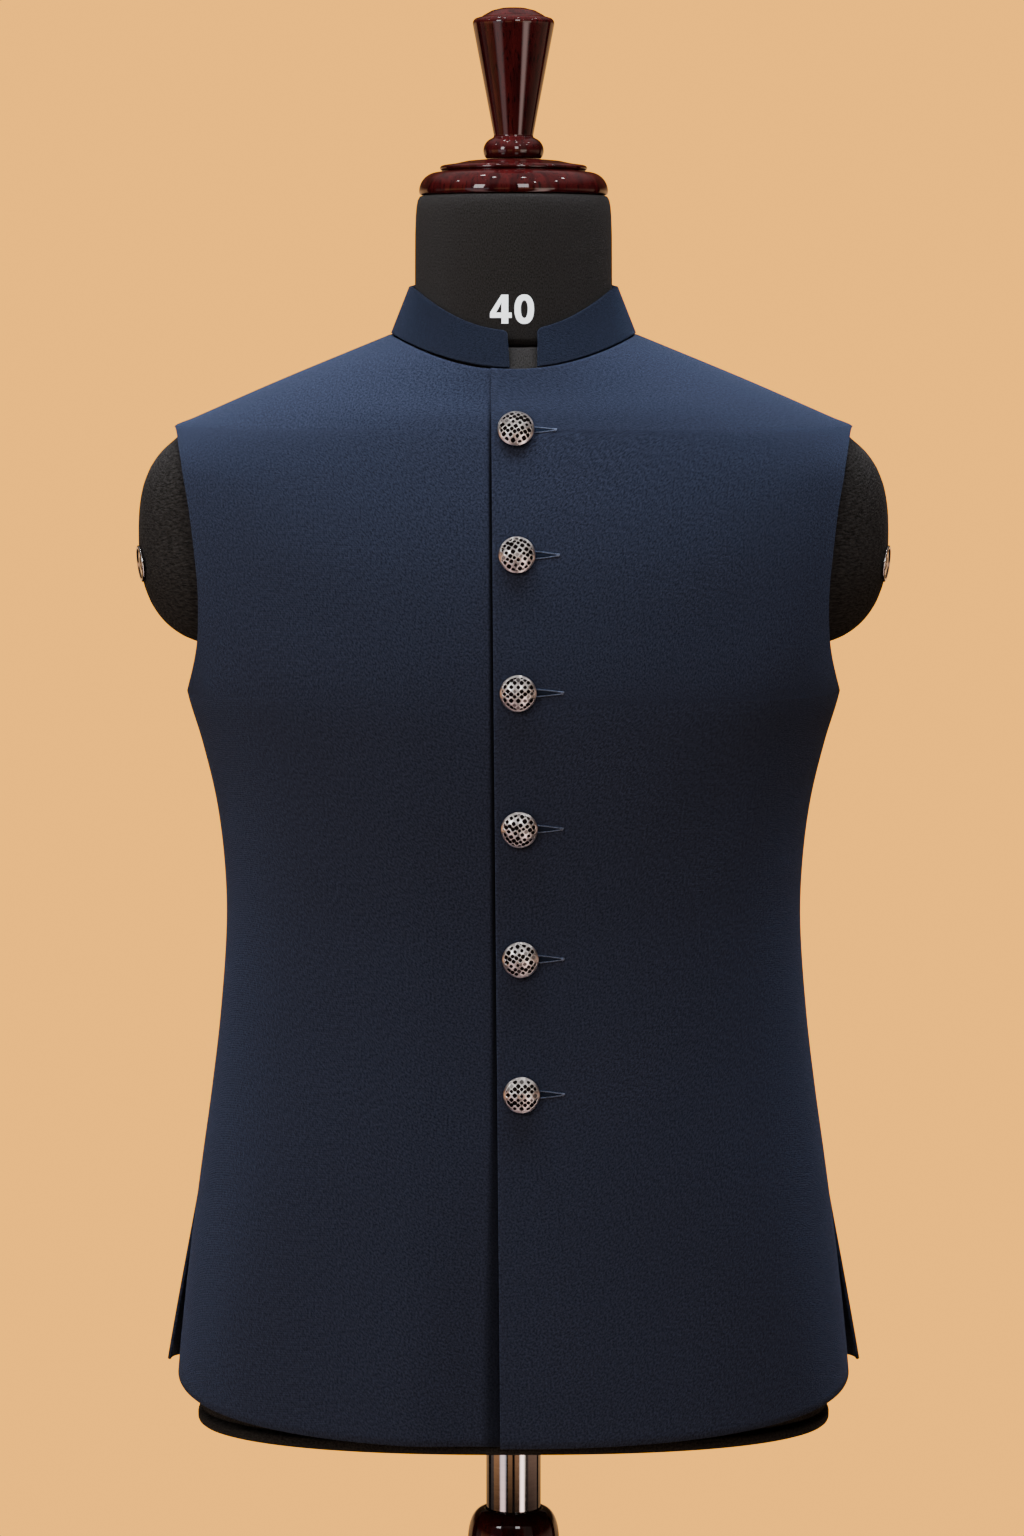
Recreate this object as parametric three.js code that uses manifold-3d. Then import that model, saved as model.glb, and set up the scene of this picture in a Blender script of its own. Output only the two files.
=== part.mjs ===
// A sleeveless band-collar waistcoat buttoned on a limbless tailor's dress form, in millimetres, +Z up.
// The origin is the middle of the stand's foot, on the floor. The garment faces -Y, the wearer's left is +X.
//
// Every cloth panel is a piece of one surface, the cloth's outer face, known by an angle and a height: angle 0
// is the front centre line, +90 degrees the wearer's left side and 180 degrees the back centre line, and the
// height is measured at the side. The dress form under the cloth is the same surface, moved in by the ease.
import * as THREE from "three";
import { mergeVertices } from "three/addons/utils/BufferGeometryUtils.js";
import Module from "manifold-3d";

const wasm = await Module();
wasm.setup();

const RIGHT_ANGLE = Math.PI / 2;
const CLOTH = 2.4; // canvassed suiting with its facing
const SEAM_GAP = 0.3;

// ---- The cloth's outer face ---------------------------------------------------------------------

const NECK_HEIGHT = 1451; // side of the neck, where the shoulder seam meets the collar
const SHOULDER_HEIGHT = 1391.5; // outer end of the shoulder seam
const UNDERARM_HEIGHT = 1220;
const VENT_TOP = 895; // the side seams are open below this
const FRONT_NECK_DROP = 22; // how far the neckline dips at the front, and rises at the back
const BACK_NECK_RISE = 12;

// Level sections: half the width, how far the front and back lie from the axis, and the exponent of the
// superellipse. The shoulder seam is straight down to 1397 and turns over at its end.
const SECTIONS = [
  { height: 1451, half: 79.5, front: 86, back: 70, round: 2.05 },
  { height: 1422, half: 150, front: 97, back: 86, round: 2.0 },
  { height: 1397, half: 207.4, front: 104, back: 95, round: 2.03 },
  { height: 1391.5, half: 220, front: 105.7, back: 96.7, round: 2.05 },
  { height: 1365, half: 229.5, front: 113.5, back: 104, round: 2.12 },
  { height: 1335, half: 229.5, front: 121, back: 110, round: 2.2 },
  { height: 1300, half: 225, front: 126.5, back: 113, round: 2.3 },
  { height: 1255, half: 217.5, front: 129.5, back: 111, round: 2.38 },
  { height: 1220, half: 212, front: 129.5, back: 108, round: 2.4 },
  { height: 1188, half: 202.5, front: 127.5, back: 103.5, round: 2.4 },
  { height: 1150, half: 193.5, front: 124.5, back: 98, round: 2.4 },
  { height: 1110, half: 188.5, front: 121, back: 92.5, round: 2.4 },
  { height: 1069, half: 187.3, front: 118.5, back: 90, round: 2.4 },
  { height: 1010, half: 191.5, front: 118, back: 93, round: 2.42 },
  { height: 960, half: 197.5, front: 119.5, back: 97.5, round: 2.44 },
  { height: 910, half: 204.6, front: 122, back: 102, round: 2.45 },
  { height: 850, half: 212.5, front: 125.5, back: 107, round: 2.43 },
  { height: 790, half: 219, front: 129, back: 111.5, round: 2.4 },
  { height: 735, half: 223.5, front: 131.5, back: 114.5, round: 2.4 },
];

// One column of a table at a height, on a smooth curve through the rows.
function column(rows, name, height) {
  const last = rows.length - 1;
  let i = rows.findIndex((row, k) => k < last && height >= rows[k + 1].height);
  if (i < 0) i = last - 1;
  const slope = (k) => {
    const above = rows[Math.max(k - 1, 0)];
    const below = rows[Math.min(k + 1, last)];
    return (above[name] - below[name]) / (above.height - below.height);
  };
  const [top, foot] = [rows[i], rows[i + 1]];
  const span = foot.height - top.height;
  const t = Math.min(Math.max((height - top.height) / span, 0), 1);
  return (
    (1 + 2 * t) * (1 - t) ** 2 * top[name] +
    t * (1 - t) ** 2 * span * slope(i) +
    t * t * (3 - 2 * t) * foot[name] +
    t * t * (t - 1) * span * slope(i + 1)
  );
}

const smooth = (t) => {
  const s = Math.min(Math.max(t, 0), 1);
  return s * s * (3 - 2 * s);
};
const mix = (a, b, t) => a + (b - a) * t;

// The point of the cloth's outer face at an angle and a height; widen adds to the half width.
function facePoint(angle, height, widen = 0) {
  const power = 2 / column(SECTIONS, "round", height);
  const half = column(SECTIONS, "half", height) + widen;
  const [across, ahead] = [Math.sin(angle), Math.cos(angle)];
  const reach = column(SECTIONS, ahead > 0 ? "front" : "back", height);
  const tilt = smooth((height - SHOULDER_HEIGHT) / (NECK_HEIGHT - SHOULDER_HEIGHT));
  return new THREE.Vector3(
    half * Math.sign(across) * Math.abs(across) ** power,
    -reach * Math.sign(ahead) * Math.abs(ahead) ** power,
    height + tilt * ahead * ahead * (ahead > 0 ? -FRONT_NECK_DROP : BACK_NECK_RISE),
  );
}

// The outward normal of a surface given as a function of angle and height, from steps to either side.
const TURN_STEP = 0.004; // radians
const LIFT_STEP = 0.5;

function normalOf(surface, angle, height) {
  const [turn, lift] = [TURN_STEP, LIFT_STEP];
  const round = surface(angle + turn, height).sub(surface(angle - turn, height));
  const up = surface(angle, height + lift).sub(surface(angle, height - lift));
  return round.cross(up).normalize();
}

// The angle at which the outer face is a distance x from the middle plane, at a height.
function angleAtX(x, height) {
  const half = column(SECTIONS, "half", height);
  return Math.sign(x) * Math.asin((Math.abs(x) / half) ** (column(SECTIONS, "round", height) / 2));
}

// The angle at which a front stops short of the side seam by half its gap.
function angleBesideSeam(height) {
  const round = column(SECTIONS, "round", height);
  return RIGHT_ANGLE - (SEAM_GAP / 2 / column(SECTIONS, "front", height)) ** (round / 2);
}

// ---- Solids from points -------------------------------------------------------------------------

// A solid from vertices and triangles, with its faces turned outwards.
function solid(points, triangles) {
  const geometry = new THREE.BufferGeometry().setFromPoints(points);
  const volume = triangles.reduce(
    (sum, [a, b, c]) => sum + points[a].dot(points[b].clone().cross(points[c])),
    0,
  );
  geometry.setIndex(triangles.flatMap(([a, b, c]) => (volume < 0 ? [a, c, b] : [a, b, c])));
  return geometry;
}

// The share of the way along a wall at a column: the first and last columns are half as wide.
const edged = (i, columns) => Math.min(Math.max(i - 0.5, 0), columns - 1) / (columns - 1);

// A wall of cloth: place(i, j) gives the outer point and normal at a column and a row, and the inner face
// lies a thickness inside it.
function clothWall(columns, rows, place, thickness = CLOTH) {
  const [outer, inner] = [[], []];
  for (let j = 0; j <= rows; j++) {
    for (let i = 0; i <= columns; i++) {
      const { point, normal } = place(i, j);
      outer.push(point);
      inner.push(point.clone().addScaledVector(normal, -thickness));
    }
  }
  const wide = columns + 1;
  const count = outer.length;
  const triangles = [];
  const quad = (a, b, c, d) => triangles.push([a, b, c], [a, c, d]);
  for (let j = 0; j < rows; j++) {
    for (let i = 0; i < columns; i++) {
      const [a, b] = [j * wide + i, j * wide + i + 1];
      const [c, d] = [b + wide, a + wide];
      quad(a, b, c, d);
      quad(d + count, c + count, b + count, a + count);
    }
  }
  for (let i = 0; i < columns; i++) {
    const foot = rows * wide + i;
    quad(i + 1, i, i + count, i + 1 + count);
    quad(foot, foot + 1, foot + 1 + count, foot + count);
  }
  for (let j = 0; j < rows; j++) {
    const [left, right] = [j * wide, j * wide + columns];
    quad(left, left + wide, left + wide + count, left + count);
    quad(right + wide, right, right + count, right + wide + count);
  }
  return solid([...outer, ...inner], triangles);
}

// A closed solid through rings of points, with a flat or domed fan at each end.
function loft(rings) {
  const size = rings[0].length;
  const points = rings.flat();
  const triangles = [];
  for (let k = 0; k < rings.length - 1; k++) {
    for (let i = 0; i < size; i++) {
      const next = (i + 1) % size;
      const [a, b] = [k * size + i, k * size + next];
      triangles.push([a, b, b + size], [a, b + size, a + size]);
    }
  }
  for (const [ring, start] of [[rings[0], 0], [rings.at(-1), (rings.length - 1) * size]]) {
    const centre = points.length;
    points.push(ring.reduce((sum, p) => sum.add(p), new THREE.Vector3()).divideScalar(size));
    for (let i = 0; i < size; i++) {
      const pair = [start + i, start + ((i + 1) % size)];
      triangles.push(start ? [...pair, centre] : [pair[1], pair[0], centre]);
    }
  }
  return solid(points, triangles);
}

// A turned solid, from pairs of radius and height that start and end on the axis.
function turned(profile, segments) {
  const points = profile.map(([radius, height]) => new THREE.Vector2(radius, height));
  return new THREE.LatheGeometry(points, segments).rotateX(RIGHT_ANGLE);
}

// Booleans: a geometry as a closed solid, and a closed solid as a geometry.
function toManifold(geometry) {
  const bare = geometry.clone();
  bare.deleteAttribute("normal");
  bare.deleteAttribute("uv");
  const merged = mergeVertices(bare, 1e-3);
  const vertProperties = merged.attributes.position.array;
  const triVerts = new Uint32Array(merged.index.array);
  return new wasm.Manifold(new wasm.Mesh({ numProp: 3, vertProperties, triVerts }));
}
function fromManifold(manifold) {
  const mesh = manifold.getMesh();
  return new THREE.BufferGeometry()
    .setAttribute("position", new THREE.BufferAttribute(mesh.vertProperties, 3))
    .setIndex(new THREE.BufferAttribute(mesh.triVerts, 1));
}

// ---- Materials ----------------------------------------------------------------------------------

const finish = (color, roughness, metalness = 0) =>
  new THREE.MeshStandardMaterial({ color, roughness, metalness });
const SUITING = finish(0x1e2a45, 0.85);
const FORM_JERSEY = finish(0x141312, 0.9);
const MAHOGANY = finish(0x3a0f0c, 0.25);
const CHROME = finish(0xc9ccd0, 0.08, 1);
const ANTIQUE_SILVER = finish(0xa79a92, 0.3, 1);

const figure = new THREE.Group();
function add(name, geometry, material) {
  const mesh = new THREE.Mesh(geometry, material);
  mesh.name = name;
  figure.add(mesh);
  return mesh;
}

// ---- Front and back panels ----------------------------------------------------------------------

const YOKE_ROWS = 6; // neckline to shoulder end
const ARMHOLE_ROWS = 10; // shoulder end to underarm
const BODY_ROWS = 12; // underarm to hem
const PANEL_ROWS = YOKE_ROWS + ARMHOLE_ROWS + BODY_ROWS;
const FRONT_COLUMNS = 14;
const BACK_COLUMNS = 25;

const ARMHOLE_SQUARENESS = { upper: 2.6, lower: 2.2 };
const FRONT_SCYE = THREE.MathUtils.degToRad(27.5); // how far the armhole cuts into the front and the back
const BACK_SCYE = THREE.MathUtils.degToRad(26);

const FRONT_HEM = 747; // at the front centre; the hem rises towards the side vents
const FRONT_HEM_RISE = 27;
const FRONT_HEM_CURVE = 1.7;
const BACK_HEM = 766;
const BACK_HEM_RISE = 12;
const VENT_FLARE = 9; // how far the back stands out past the front at the foot of the vent
const VENT_CURVE = 1.2;

const LAP_EDGE_TOP = -14.5; // x of the upper front's edge, at the neck and at the hem
const LAP_EDGE_FOOT = -8.4;
const UNDERLAP = 14; // how far the lower front passes the middle under the upper one
const LAP_GAP = 0.5;
const LAP_BLEND = [70, 20]; // the lower front starts to sink at 70 mm from the middle and is down at 20 mm
const HEM_SINK = 6; // the lower front falls further in below the last button
const HEM_SINK_FROM = 940;

// The height of a panel's row: even steps over the yoke and the body, closer ones at the armhole's ends.
function rowHeight(row, hem) {
  if (row <= YOKE_ROWS) return mix(NECK_HEIGHT, SHOULDER_HEIGHT, row / YOKE_ROWS);
  if (row <= YOKE_ROWS + ARMHOLE_ROWS) {
    const turn = (Math.PI * (row - YOKE_ROWS)) / ARMHOLE_ROWS;
    return mix(SHOULDER_HEIGHT, UNDERARM_HEIGHT, (1 - Math.cos(turn)) / 2);
  }
  return mix(UNDERARM_HEIGHT, hem, (row - YOKE_ROWS - ARMHOLE_ROWS) / BODY_ROWS);
}

// How far the armhole's edge lies from the side, as an angle.
function scye(height, depth) {
  const t = Math.min(Math.max((SHOULDER_HEIGHT - height) / (SHOULDER_HEIGHT - UNDERARM_HEIGHT), 0), 1);
  const power = t < 0.5 ? ARMHOLE_SQUARENESS.upper : ARMHOLE_SQUARENESS.lower;
  return depth * (1 - Math.abs(1 - 2 * t) ** power) ** (1 / power);
}

// The x of the upper front's edge at a height.
const lapEdge = (height) =>
  mix(LAP_EDGE_TOP, LAP_EDGE_FOOT, (NECK_HEIGHT - height) / (NECK_HEIGHT - FRONT_HEM));

// How far the lower front and its end of the collar lie inside the outer face, at an x left of the middle.
function lapSink(x, height) {
  const down = smooth((x + LAP_BLEND[0]) / (LAP_BLEND[0] - LAP_BLEND[1]));
  const fall = smooth((HEM_SINK_FROM - height) / (HEM_SINK_FROM - FRONT_HEM));
  return down * (CLOTH + LAP_GAP + HEM_SINK * fall);
}

const frontHem = (angle) =>
  FRONT_HEM + FRONT_HEM_RISE * Math.abs(angle / RIGHT_ANGLE) ** FRONT_HEM_CURVE;

// side is +1 for the wearer's left front, which laps over, and -1 for the right front under it.
function frontPanel(side) {
  return clothWall(FRONT_COLUMNS, PANEL_ROWS, (i, row) => {
    const level = rowHeight(row, FRONT_HEM);
    const inner = side > 0 ? angleAtX(lapEdge(level), level) : -angleAtX(UNDERLAP, level);
    const outer = Math.min(angleBesideSeam(level), RIGHT_ANGLE - scye(level, FRONT_SCYE));
    const turn = mix(inner, outer, edged(i, FRONT_COLUMNS));
    const height = rowHeight(row, frontHem(turn));
    const angle = side * turn;
    const normal = normalOf(facePoint, angle, height);
    const point = facePoint(angle, height);
    if (side < 0) point.addScaledVector(normal, -lapSink(point.x, height));
    return { point, normal };
  });
}

add("front_left", frontPanel(1), SUITING);
add("front_right", frontPanel(-1), SUITING);

// The back's outer face stands out past the front below the top of the vents.
function backFace(angle, height) {
  const fall = Math.max((VENT_TOP - height) / (VENT_TOP - BACK_HEM), 0) ** VENT_CURVE;
  return facePoint(angle, height, VENT_FLARE * fall);
}

function backPanel() {
  return clothWall(BACK_COLUMNS, PANEL_ROWS, (i, row) => {
    const level = rowHeight(row, BACK_HEM);
    const edge = Math.max(Math.PI - angleBesideSeam(level), RIGHT_ANGLE + scye(level, BACK_SCYE));
    const angle = mix(edge, 2 * Math.PI - edge, edged(i, BACK_COLUMNS));
    const fromMiddle = Math.abs(angle - Math.PI) / RIGHT_ANGLE;
    const height = rowHeight(row, BACK_HEM + BACK_HEM_RISE * fromMiddle ** 2);
    return { point: backFace(angle, height), normal: normalOf(backFace, angle, height) };
  });
}

add("back", backPanel(), SUITING);

// ---- Band collar --------------------------------------------------------------------------------

const COLLAR_COLUMNS = 44;
const COLLAR_END_COLUMNS = 2; // narrow ones next to each end, for the round corners
const COLLAR_ROWS = 3;
const COLLAR_CLOTH = 2.7;
const COLLAR_SEAT = 0.4; // above the neckline's edge
const COLLAR_END_LEFT = 15; // x of the two front ends
const COLLAR_END_RIGHT = -2.5;
const COLLAR_CORNER = 6; // radius of the top corners
const COLLAR_DEPTH = 31; // seam to top edge, in front
const COLLAR_TOP = { half: 67.4, front: 67.6, back: 67.6, side: 1482, frontDrop: 29, backRise: 14 };

// The top edge of the collar's outer face, round the neck.
function collarTop(angle) {
  const [across, ahead] = [Math.sin(angle), Math.cos(angle)];
  const { half, front, back, side, frontDrop, backRise } = COLLAR_TOP;
  return new THREE.Vector3(
    half * across,
    -(ahead > 0 ? front : back) * ahead,
    side + ahead * ahead * (ahead > 0 ? -frontDrop : backRise),
  );
}

// The collar's outer face: share 0 is its seam and 1 its top edge.
function collarFace(angle, share) {
  const seam = facePoint(angle, NECK_HEIGHT);
  seam.z += COLLAR_SEAT;
  return seam.lerp(collarTop(angle), share);
}

function collarBand() {
  const start = angleAtX(COLLAR_END_LEFT, NECK_HEIGHT);
  const end = 2 * Math.PI + angleAtX(COLLAR_END_RIGHT, NECK_HEIGHT);
  const edge = COLLAR_CORNER / COLLAR_TOP.front;
  const place = (i, row) => {
    const nearEnd = Math.min(i, COLLAR_COLUMNS - i) / COLLAR_END_COLUMNS;
    const share = (i - COLLAR_END_COLUMNS) / (COLLAR_COLUMNS - 2 * COLLAR_END_COLUMNS);
    const beside = i < COLLAR_COLUMNS / 2 ? start + edge * nearEnd : end - edge * nearEnd;
    const angle = nearEnd < 1 ? beside : mix(start + edge, end - edge, share);
    const inset = Math.max(1 - nearEnd, 0);
    const corner = (COLLAR_CORNER * (1 - Math.sqrt(1 - inset * inset))) / COLLAR_DEPTH;
    const up = (1 - row / COLLAR_ROWS) * (1 - corner);
    const point = collarFace(angle, up);
    const around = collarFace(angle + TURN_STEP, up).sub(collarFace(angle - TURN_STEP, up));
    const normal = new THREE.Vector3(around.y, -around.x, 0).normalize();
    const sink = angle > 3 * RIGHT_ANGLE ? lapSink(point.x, NECK_HEIGHT) * (1 - up) : 0;
    return { point: point.addScaledVector(normal, -sink), normal };
  };
  return clothWall(COLLAR_COLUMNS, COLLAR_ROWS, place, COLLAR_CLOTH);
}

add("collar", collarBand(), SUITING);

// ---- Buttons ------------------------------------------------------------------------------------

const BUTTON_HEIGHTS = [1392, 1313, 1227, 1141, 1058, 972];
const BUTTON_FROM_EDGE = 15.4;
const BUTTON_RADIUS = 11.5;
const BUTTON_SEGMENTS = 14;
const BUTTON_PROFILE = [
  [0, 0],
  [3.6, 0],
  [3.6, 1.6],
  [10.9, 2.1],
  [BUTTON_RADIUS, 2.9],
  [10.6, 4.6],
  [7.6, 6.8],
  [3.8, 8],
  [0, 8.3],
];

BUTTON_HEIGHTS.forEach((height, k) => {
  const angle = angleAtX(lapEdge(height) + BUTTON_FROM_EDGE, height);
  const normal = normalOf(facePoint, angle, height);
  const button = add(`button_${k + 1}`, turned(BUTTON_PROFILE, BUTTON_SEGMENTS), ANTIQUE_SILVER);
  button.position.copy(facePoint(angle, height)).addScaledVector(normal, SEAM_GAP);
  button.quaternion.setFromUnitVectors(new THREE.Vector3(0, 0, 1), normal);
});

// ---- Dress form: torso, arm stubs, neck and bottom board ----------------------------------------

const RING_SIDES = 44;
const POLE_RADIUS = 18;
const POLE_CLEARANCE = 0.4;
const POLE_SIDES = 28;
const SOCKET_TOP = 850;

// How far the form lies inside the cloth's outer face at the sides, the front and the back.
const EASE = [
  { height: 1451, side: 3.8, front: 7, back: 4.5 },
  { height: 1422, side: 3.9, front: 6.5, back: 4.5 },
  { height: 1391.5, side: 4.6, front: 6.5, back: 4.5 },
  { height: 1365, side: 22, front: 6.5, back: 4.5 },
  { height: 1320, side: 33, front: 6.5, back: 5 },
  { height: 1260, side: 31, front: 6.5, back: 6 },
  { height: 1220, side: 27, front: 6.5, back: 7 },
  { height: 1150, side: 13, front: 7, back: 8 },
  { height: 1069, side: 11, front: 7, back: 9 },
  { height: 910, side: 12, front: 8, back: 9 },
  { height: 747, side: 15, front: 13, back: 12 },
];
const TORSO_HEIGHTS = [
  1451, 1441, 1431, 1420, 1409, 1400, 1395, 1391.5, 1380, 1366, 1350, 1325, 1295, 1260, 1220, 1180, 1140,
  1100, 1069, 1020, 960, 900, 840, 790, 748,
];
const NECK_SEAM = { radius: 65.2, height: 1453, slope: 10 / 65 }; // the seam climbs towards the back

const STUB = { x: 175, height: 1322, reach: 68.5, rise: 71, fall: 74, depth: 44.5, round: 2.6 };
const STUB_SIDES = 20;
const STUB_STEPS = 12;

const ringAngles = Array.from({ length: RING_SIDES }, (_, i) => (2 * Math.PI * i) / RING_SIDES);

function torsoPoint(angle, height) {
  const [across, ahead] = [Math.sin(angle) ** 2, Math.cos(angle)];
  const facing = column(EASE, ahead > 0 ? "front" : "back", height);
  const ease = mix(facing, column(EASE, "side", height), across);
  return facePoint(angle, height).addScaledVector(normalOf(facePoint, angle, height), -ease);
}

const neckSeam = (angle, radius, lift = 0) => {
  const y = -radius * Math.cos(angle);
  return new THREE.Vector3(radius * Math.sin(angle), y, NECK_SEAM.height + NECK_SEAM.slope * y + lift);
};

// An upper arm cut off short: a rounded superellipsoid whose axis runs out to the side.
function armStub(side) {
  const power = 2 / STUB.round;
  const bend = (value) => Math.sign(value) * Math.abs(value) ** power;
  const rings = [];
  for (let k = 0; k <= STUB_STEPS; k++) {
    const swing = mix(-RIGHT_ANGLE + 0.08, RIGHT_ANGLE - 0.08, k / STUB_STEPS);
    rings.push(
      Array.from({ length: STUB_SIDES }, (_, i) => {
        const turn = (2 * Math.PI * i) / STUB_SIDES;
        const lift = bend(Math.cos(swing)) * bend(Math.sin(turn));
        return new THREE.Vector3(
          side * (STUB.x + STUB.reach * bend(Math.sin(swing))),
          STUB.depth * bend(Math.cos(swing)) * bend(Math.cos(turn)),
          STUB.height + lift * (lift > 0 ? STUB.rise : STUB.fall),
        );
      }),
    );
  }
  return loft(rings);
}

function poleSocket(foot, top) {
  const radius = POLE_RADIUS + POLE_CLEARANCE;
  return toManifold(turned([[0, foot], [radius, foot], [radius, top], [0, top]], POLE_SIDES));
}

// The metal rings on the stubs' ends are let in a little, in shallow round seats.
const ARM_RING = { radius: 12, height: 1303, y: -13, seatX: 240.4, seatClearance: 0.4, seatReach: 8 };
const ARM_RING_FORWARD = THREE.MathUtils.degToRad(12);
const ARM_RING_DOWN = THREE.MathUtils.degToRad(7);
const RING_SEGMENTS = 20;
const ARM_RING_PROFILE = [
  [0, SEAM_GAP],
  [11.2, SEAM_GAP],
  [ARM_RING.radius, 0.9],
  [ARM_RING.radius, 1.5],
  [11.1, 2],
  [9.6, 1.8],
  [9, 1.1],
  [0, 1.1],
];

// Turns a piece made round the upright axis so that it stands on a stub's seat.
function seatOnStub(object, side) {
  const out = new THREE.Vector3(
    side * Math.cos(ARM_RING_FORWARD),
    -Math.sin(ARM_RING_FORWARD),
    -Math.tan(ARM_RING_DOWN),
  ).normalize();
  object.quaternion.setFromUnitVectors(new THREE.Vector3(0, 0, 1), out);
  object.position.set(side * ARM_RING.seatX, ARM_RING.y, ARM_RING.height);
  return object;
}

function ringSeat(side) {
  const [radius, reach] = [ARM_RING.radius + ARM_RING.seatClearance, ARM_RING.seatReach];
  const bore = turned([[0, 0], [radius, 0], [radius, reach], [0, reach]], RING_SEGMENTS);
  const seated = seatOnStub(new THREE.Object3D(), side);
  seated.updateMatrix();
  return toManifold(bore.applyMatrix4(seated.matrix));
}

function torso() {
  const rings = [
    ringAngles.map((angle) => neckSeam(angle, NECK_SEAM.radius - 1)),
    ringAngles.map((angle) => neckSeam(angle, NECK_SEAM.radius, -1)),
    ...TORSO_HEIGHTS.map((height) =>
      ringAngles.map((angle) => {
        const point = torsoPoint(angle, height);
        if (height === TORSO_HEIGHTS.at(-1)) point.z = height;
        return point;
      }),
    ),
  ];
  const body = toManifold(loft(rings)).add(toManifold(armStub(1))).add(toManifold(armStub(-1)));
  const hollows = poleSocket(TORSO_HEIGHTS.at(-1) - 1, SOCKET_TOP).add(ringSeat(1)).add(ringSeat(-1));
  return fromManifold(body.subtract(hollows));
}

add("form_torso", torso(), FORM_JERSEY);

const NECK_RADIUS = 63.9;
const NECK_TOP = 1541.5;
const NECK_PROFILE = [[63.7, 1500], [63, 1532], [61.6, 1539.5], [59.5, NECK_TOP]];
const levelRing = (radius, height) =>
  ringAngles.map((angle) => new THREE.Vector3(radius * Math.sin(angle), -radius * Math.cos(angle), height));

function neck() {
  const foot = ringAngles.map((angle) => neckSeam(angle, NECK_RADIUS, SEAM_GAP));
  return loft([foot, ...NECK_PROFILE.map(([radius, height]) => levelRing(radius, height))]);
}

add("form_neck", neck(), FORM_JERSEY);

// The board that closes the form below, with its lower edge rounded.
const BOARD_TOP = TORSO_HEIGHTS.at(-1) - SEAM_GAP;
const BOARD_FOOT = 740;
const BOARD_ROUNDING = [[1, 0], [1, 0.62], [0.992, 0.9], [0.982, 1]]; // shares of the width and the depth

function board() {
  const outline = ringAngles.map((angle) => torsoPoint(angle, TORSO_HEIGHTS.at(-1)));
  const rings = BOARD_ROUNDING.map(([width, down]) =>
    outline.map((p) => new THREE.Vector3(p.x * width, p.y * width, mix(BOARD_TOP, BOARD_FOOT, down))),
  );
  return fromManifold(toManifold(loft(rings)).subtract(poleSocket(BOARD_FOOT - 1, BOARD_TOP + 1)));
}

add("form_board", board(), FORM_JERSEY);

// ---- Metal rings on the arm stubs ------------------------------------------------------------------

for (const [name, side] of [["arm_ring_left", 1], ["arm_ring_right", -1]]) {
  seatOnStub(add(name, turned(ARM_RING_PROFILE, RING_SEGMENTS), CHROME), side);
}

// ---- Turned wood above the neck -----------------------------------------------------------------

const CAP_FOOT = NECK_TOP + SEAM_GAP;
const CAP_PROFILE = [
  [0, CAP_FOOT],
  [59.5, CAP_FOOT],
  [61, 1543],
  [60, 1546.5],
  [57.2, 1550],
  [51.5, 1554],
  [47, 1556],
  [47.2, 1558.8],
  [45, 1560.2],
  [31, 1562.2],
  [14, 1563.4],
  [0, 1563.4],
];
add("neck_cap", turned(CAP_PROFILE, 28), MAHOGANY);

const BEAD = { height: 1569.5, radius: 19.2, rise: 6.8 };
const beadArc = [-60, -30, 0, 30, 55].map((degrees) => {
  const turn = THREE.MathUtils.degToRad(degrees);
  return [12 + (BEAD.radius - 12) * Math.cos(turn), BEAD.height + BEAD.rise * Math.sin(turn)];
});
const FINIAL_PROFILE = [
  [0, 1563.7],
  [14.5, 1563.7],
  ...beadArc,
  [12.5, 1577.5],
  [26, 1648.5],
  [26.3, 1651],
  [24.8, 1653.6],
  [21, 1654.6],
  [15, 1658.2],
  [7.5, 1660],
  [0, 1660.5],
];
add("finial", turned(FINIAL_PROFILE, 22), MAHOGANY);

// ---- Stand: pole, turned column and round foot --------------------------------------------------

const POLE_FOOT = 600;
const POLE_TOP = SOCKET_TOP - 1;
const POLE_PROFILE = [[0, POLE_FOOT], [POLE_RADIUS, POLE_FOOT], [POLE_RADIUS, POLE_TOP], [0, POLE_TOP]];
add("pole", turned(POLE_PROFILE, POLE_SIDES), CHROME);

const FOOT_RADIUS = 190;
const FOOT_TOP = 42;
const COLUMN_FOOT = FOOT_TOP + SEAM_GAP;
const SOCKET = POLE_RADIUS + POLE_CLEARANCE;
const KNOB = { core: 17, reach: 13.3, height: 652, rise: 27, square: 2.6 };
const knobArc = [-70, -45, -20, 0, 20, 42, 60, 72].map((degrees) => {
  const turn = THREE.MathUtils.degToRad(degrees);
  const out = Math.cos(turn) ** (2 / KNOB.square);
  const up = Math.sign(turn) * Math.abs(Math.sin(turn)) ** (2 / KNOB.square);
  return [KNOB.core + KNOB.reach * out, KNOB.height + KNOB.rise * up];
});
const COLUMN_PROFILE = [
  [0, COLUMN_FOOT],
  [40, COLUMN_FOOT],
  [40, 56],
  [34, 64],
  [28, 74],
  [26, 90],
  [31, 180],
  [33, 260],
  [30, 380],
  [23.5, 560],
  [22.5, 600],
  [26.5, 606],
  [26.5, 612],
  [22, 618],
  [20.5, 626],
  ...knobArc,
  [SOCKET + 1.2, 679],
  [SOCKET, 678.2],
  [SOCKET, POLE_FOOT - SEAM_GAP],
  [0, POLE_FOOT - SEAM_GAP],
];
add("stand_column", turned(COLUMN_PROFILE, POLE_SIDES), MAHOGANY);

const FOOT_PROFILE = [
  [0, 0],
  [FOOT_RADIUS - 4, 0],
  [FOOT_RADIUS, 4],
  [FOOT_RADIUS, 16],
  [FOOT_RADIUS - 6, 23],
  [FOOT_RADIUS - 18, 26],
  [80, 31],
  [66, 36],
  [56, FOOT_TOP],
  [0, FOOT_TOP],
];
add("stand_foot", turned(FOOT_PROFILE, 36), MAHOGANY);

export default figure;
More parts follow.
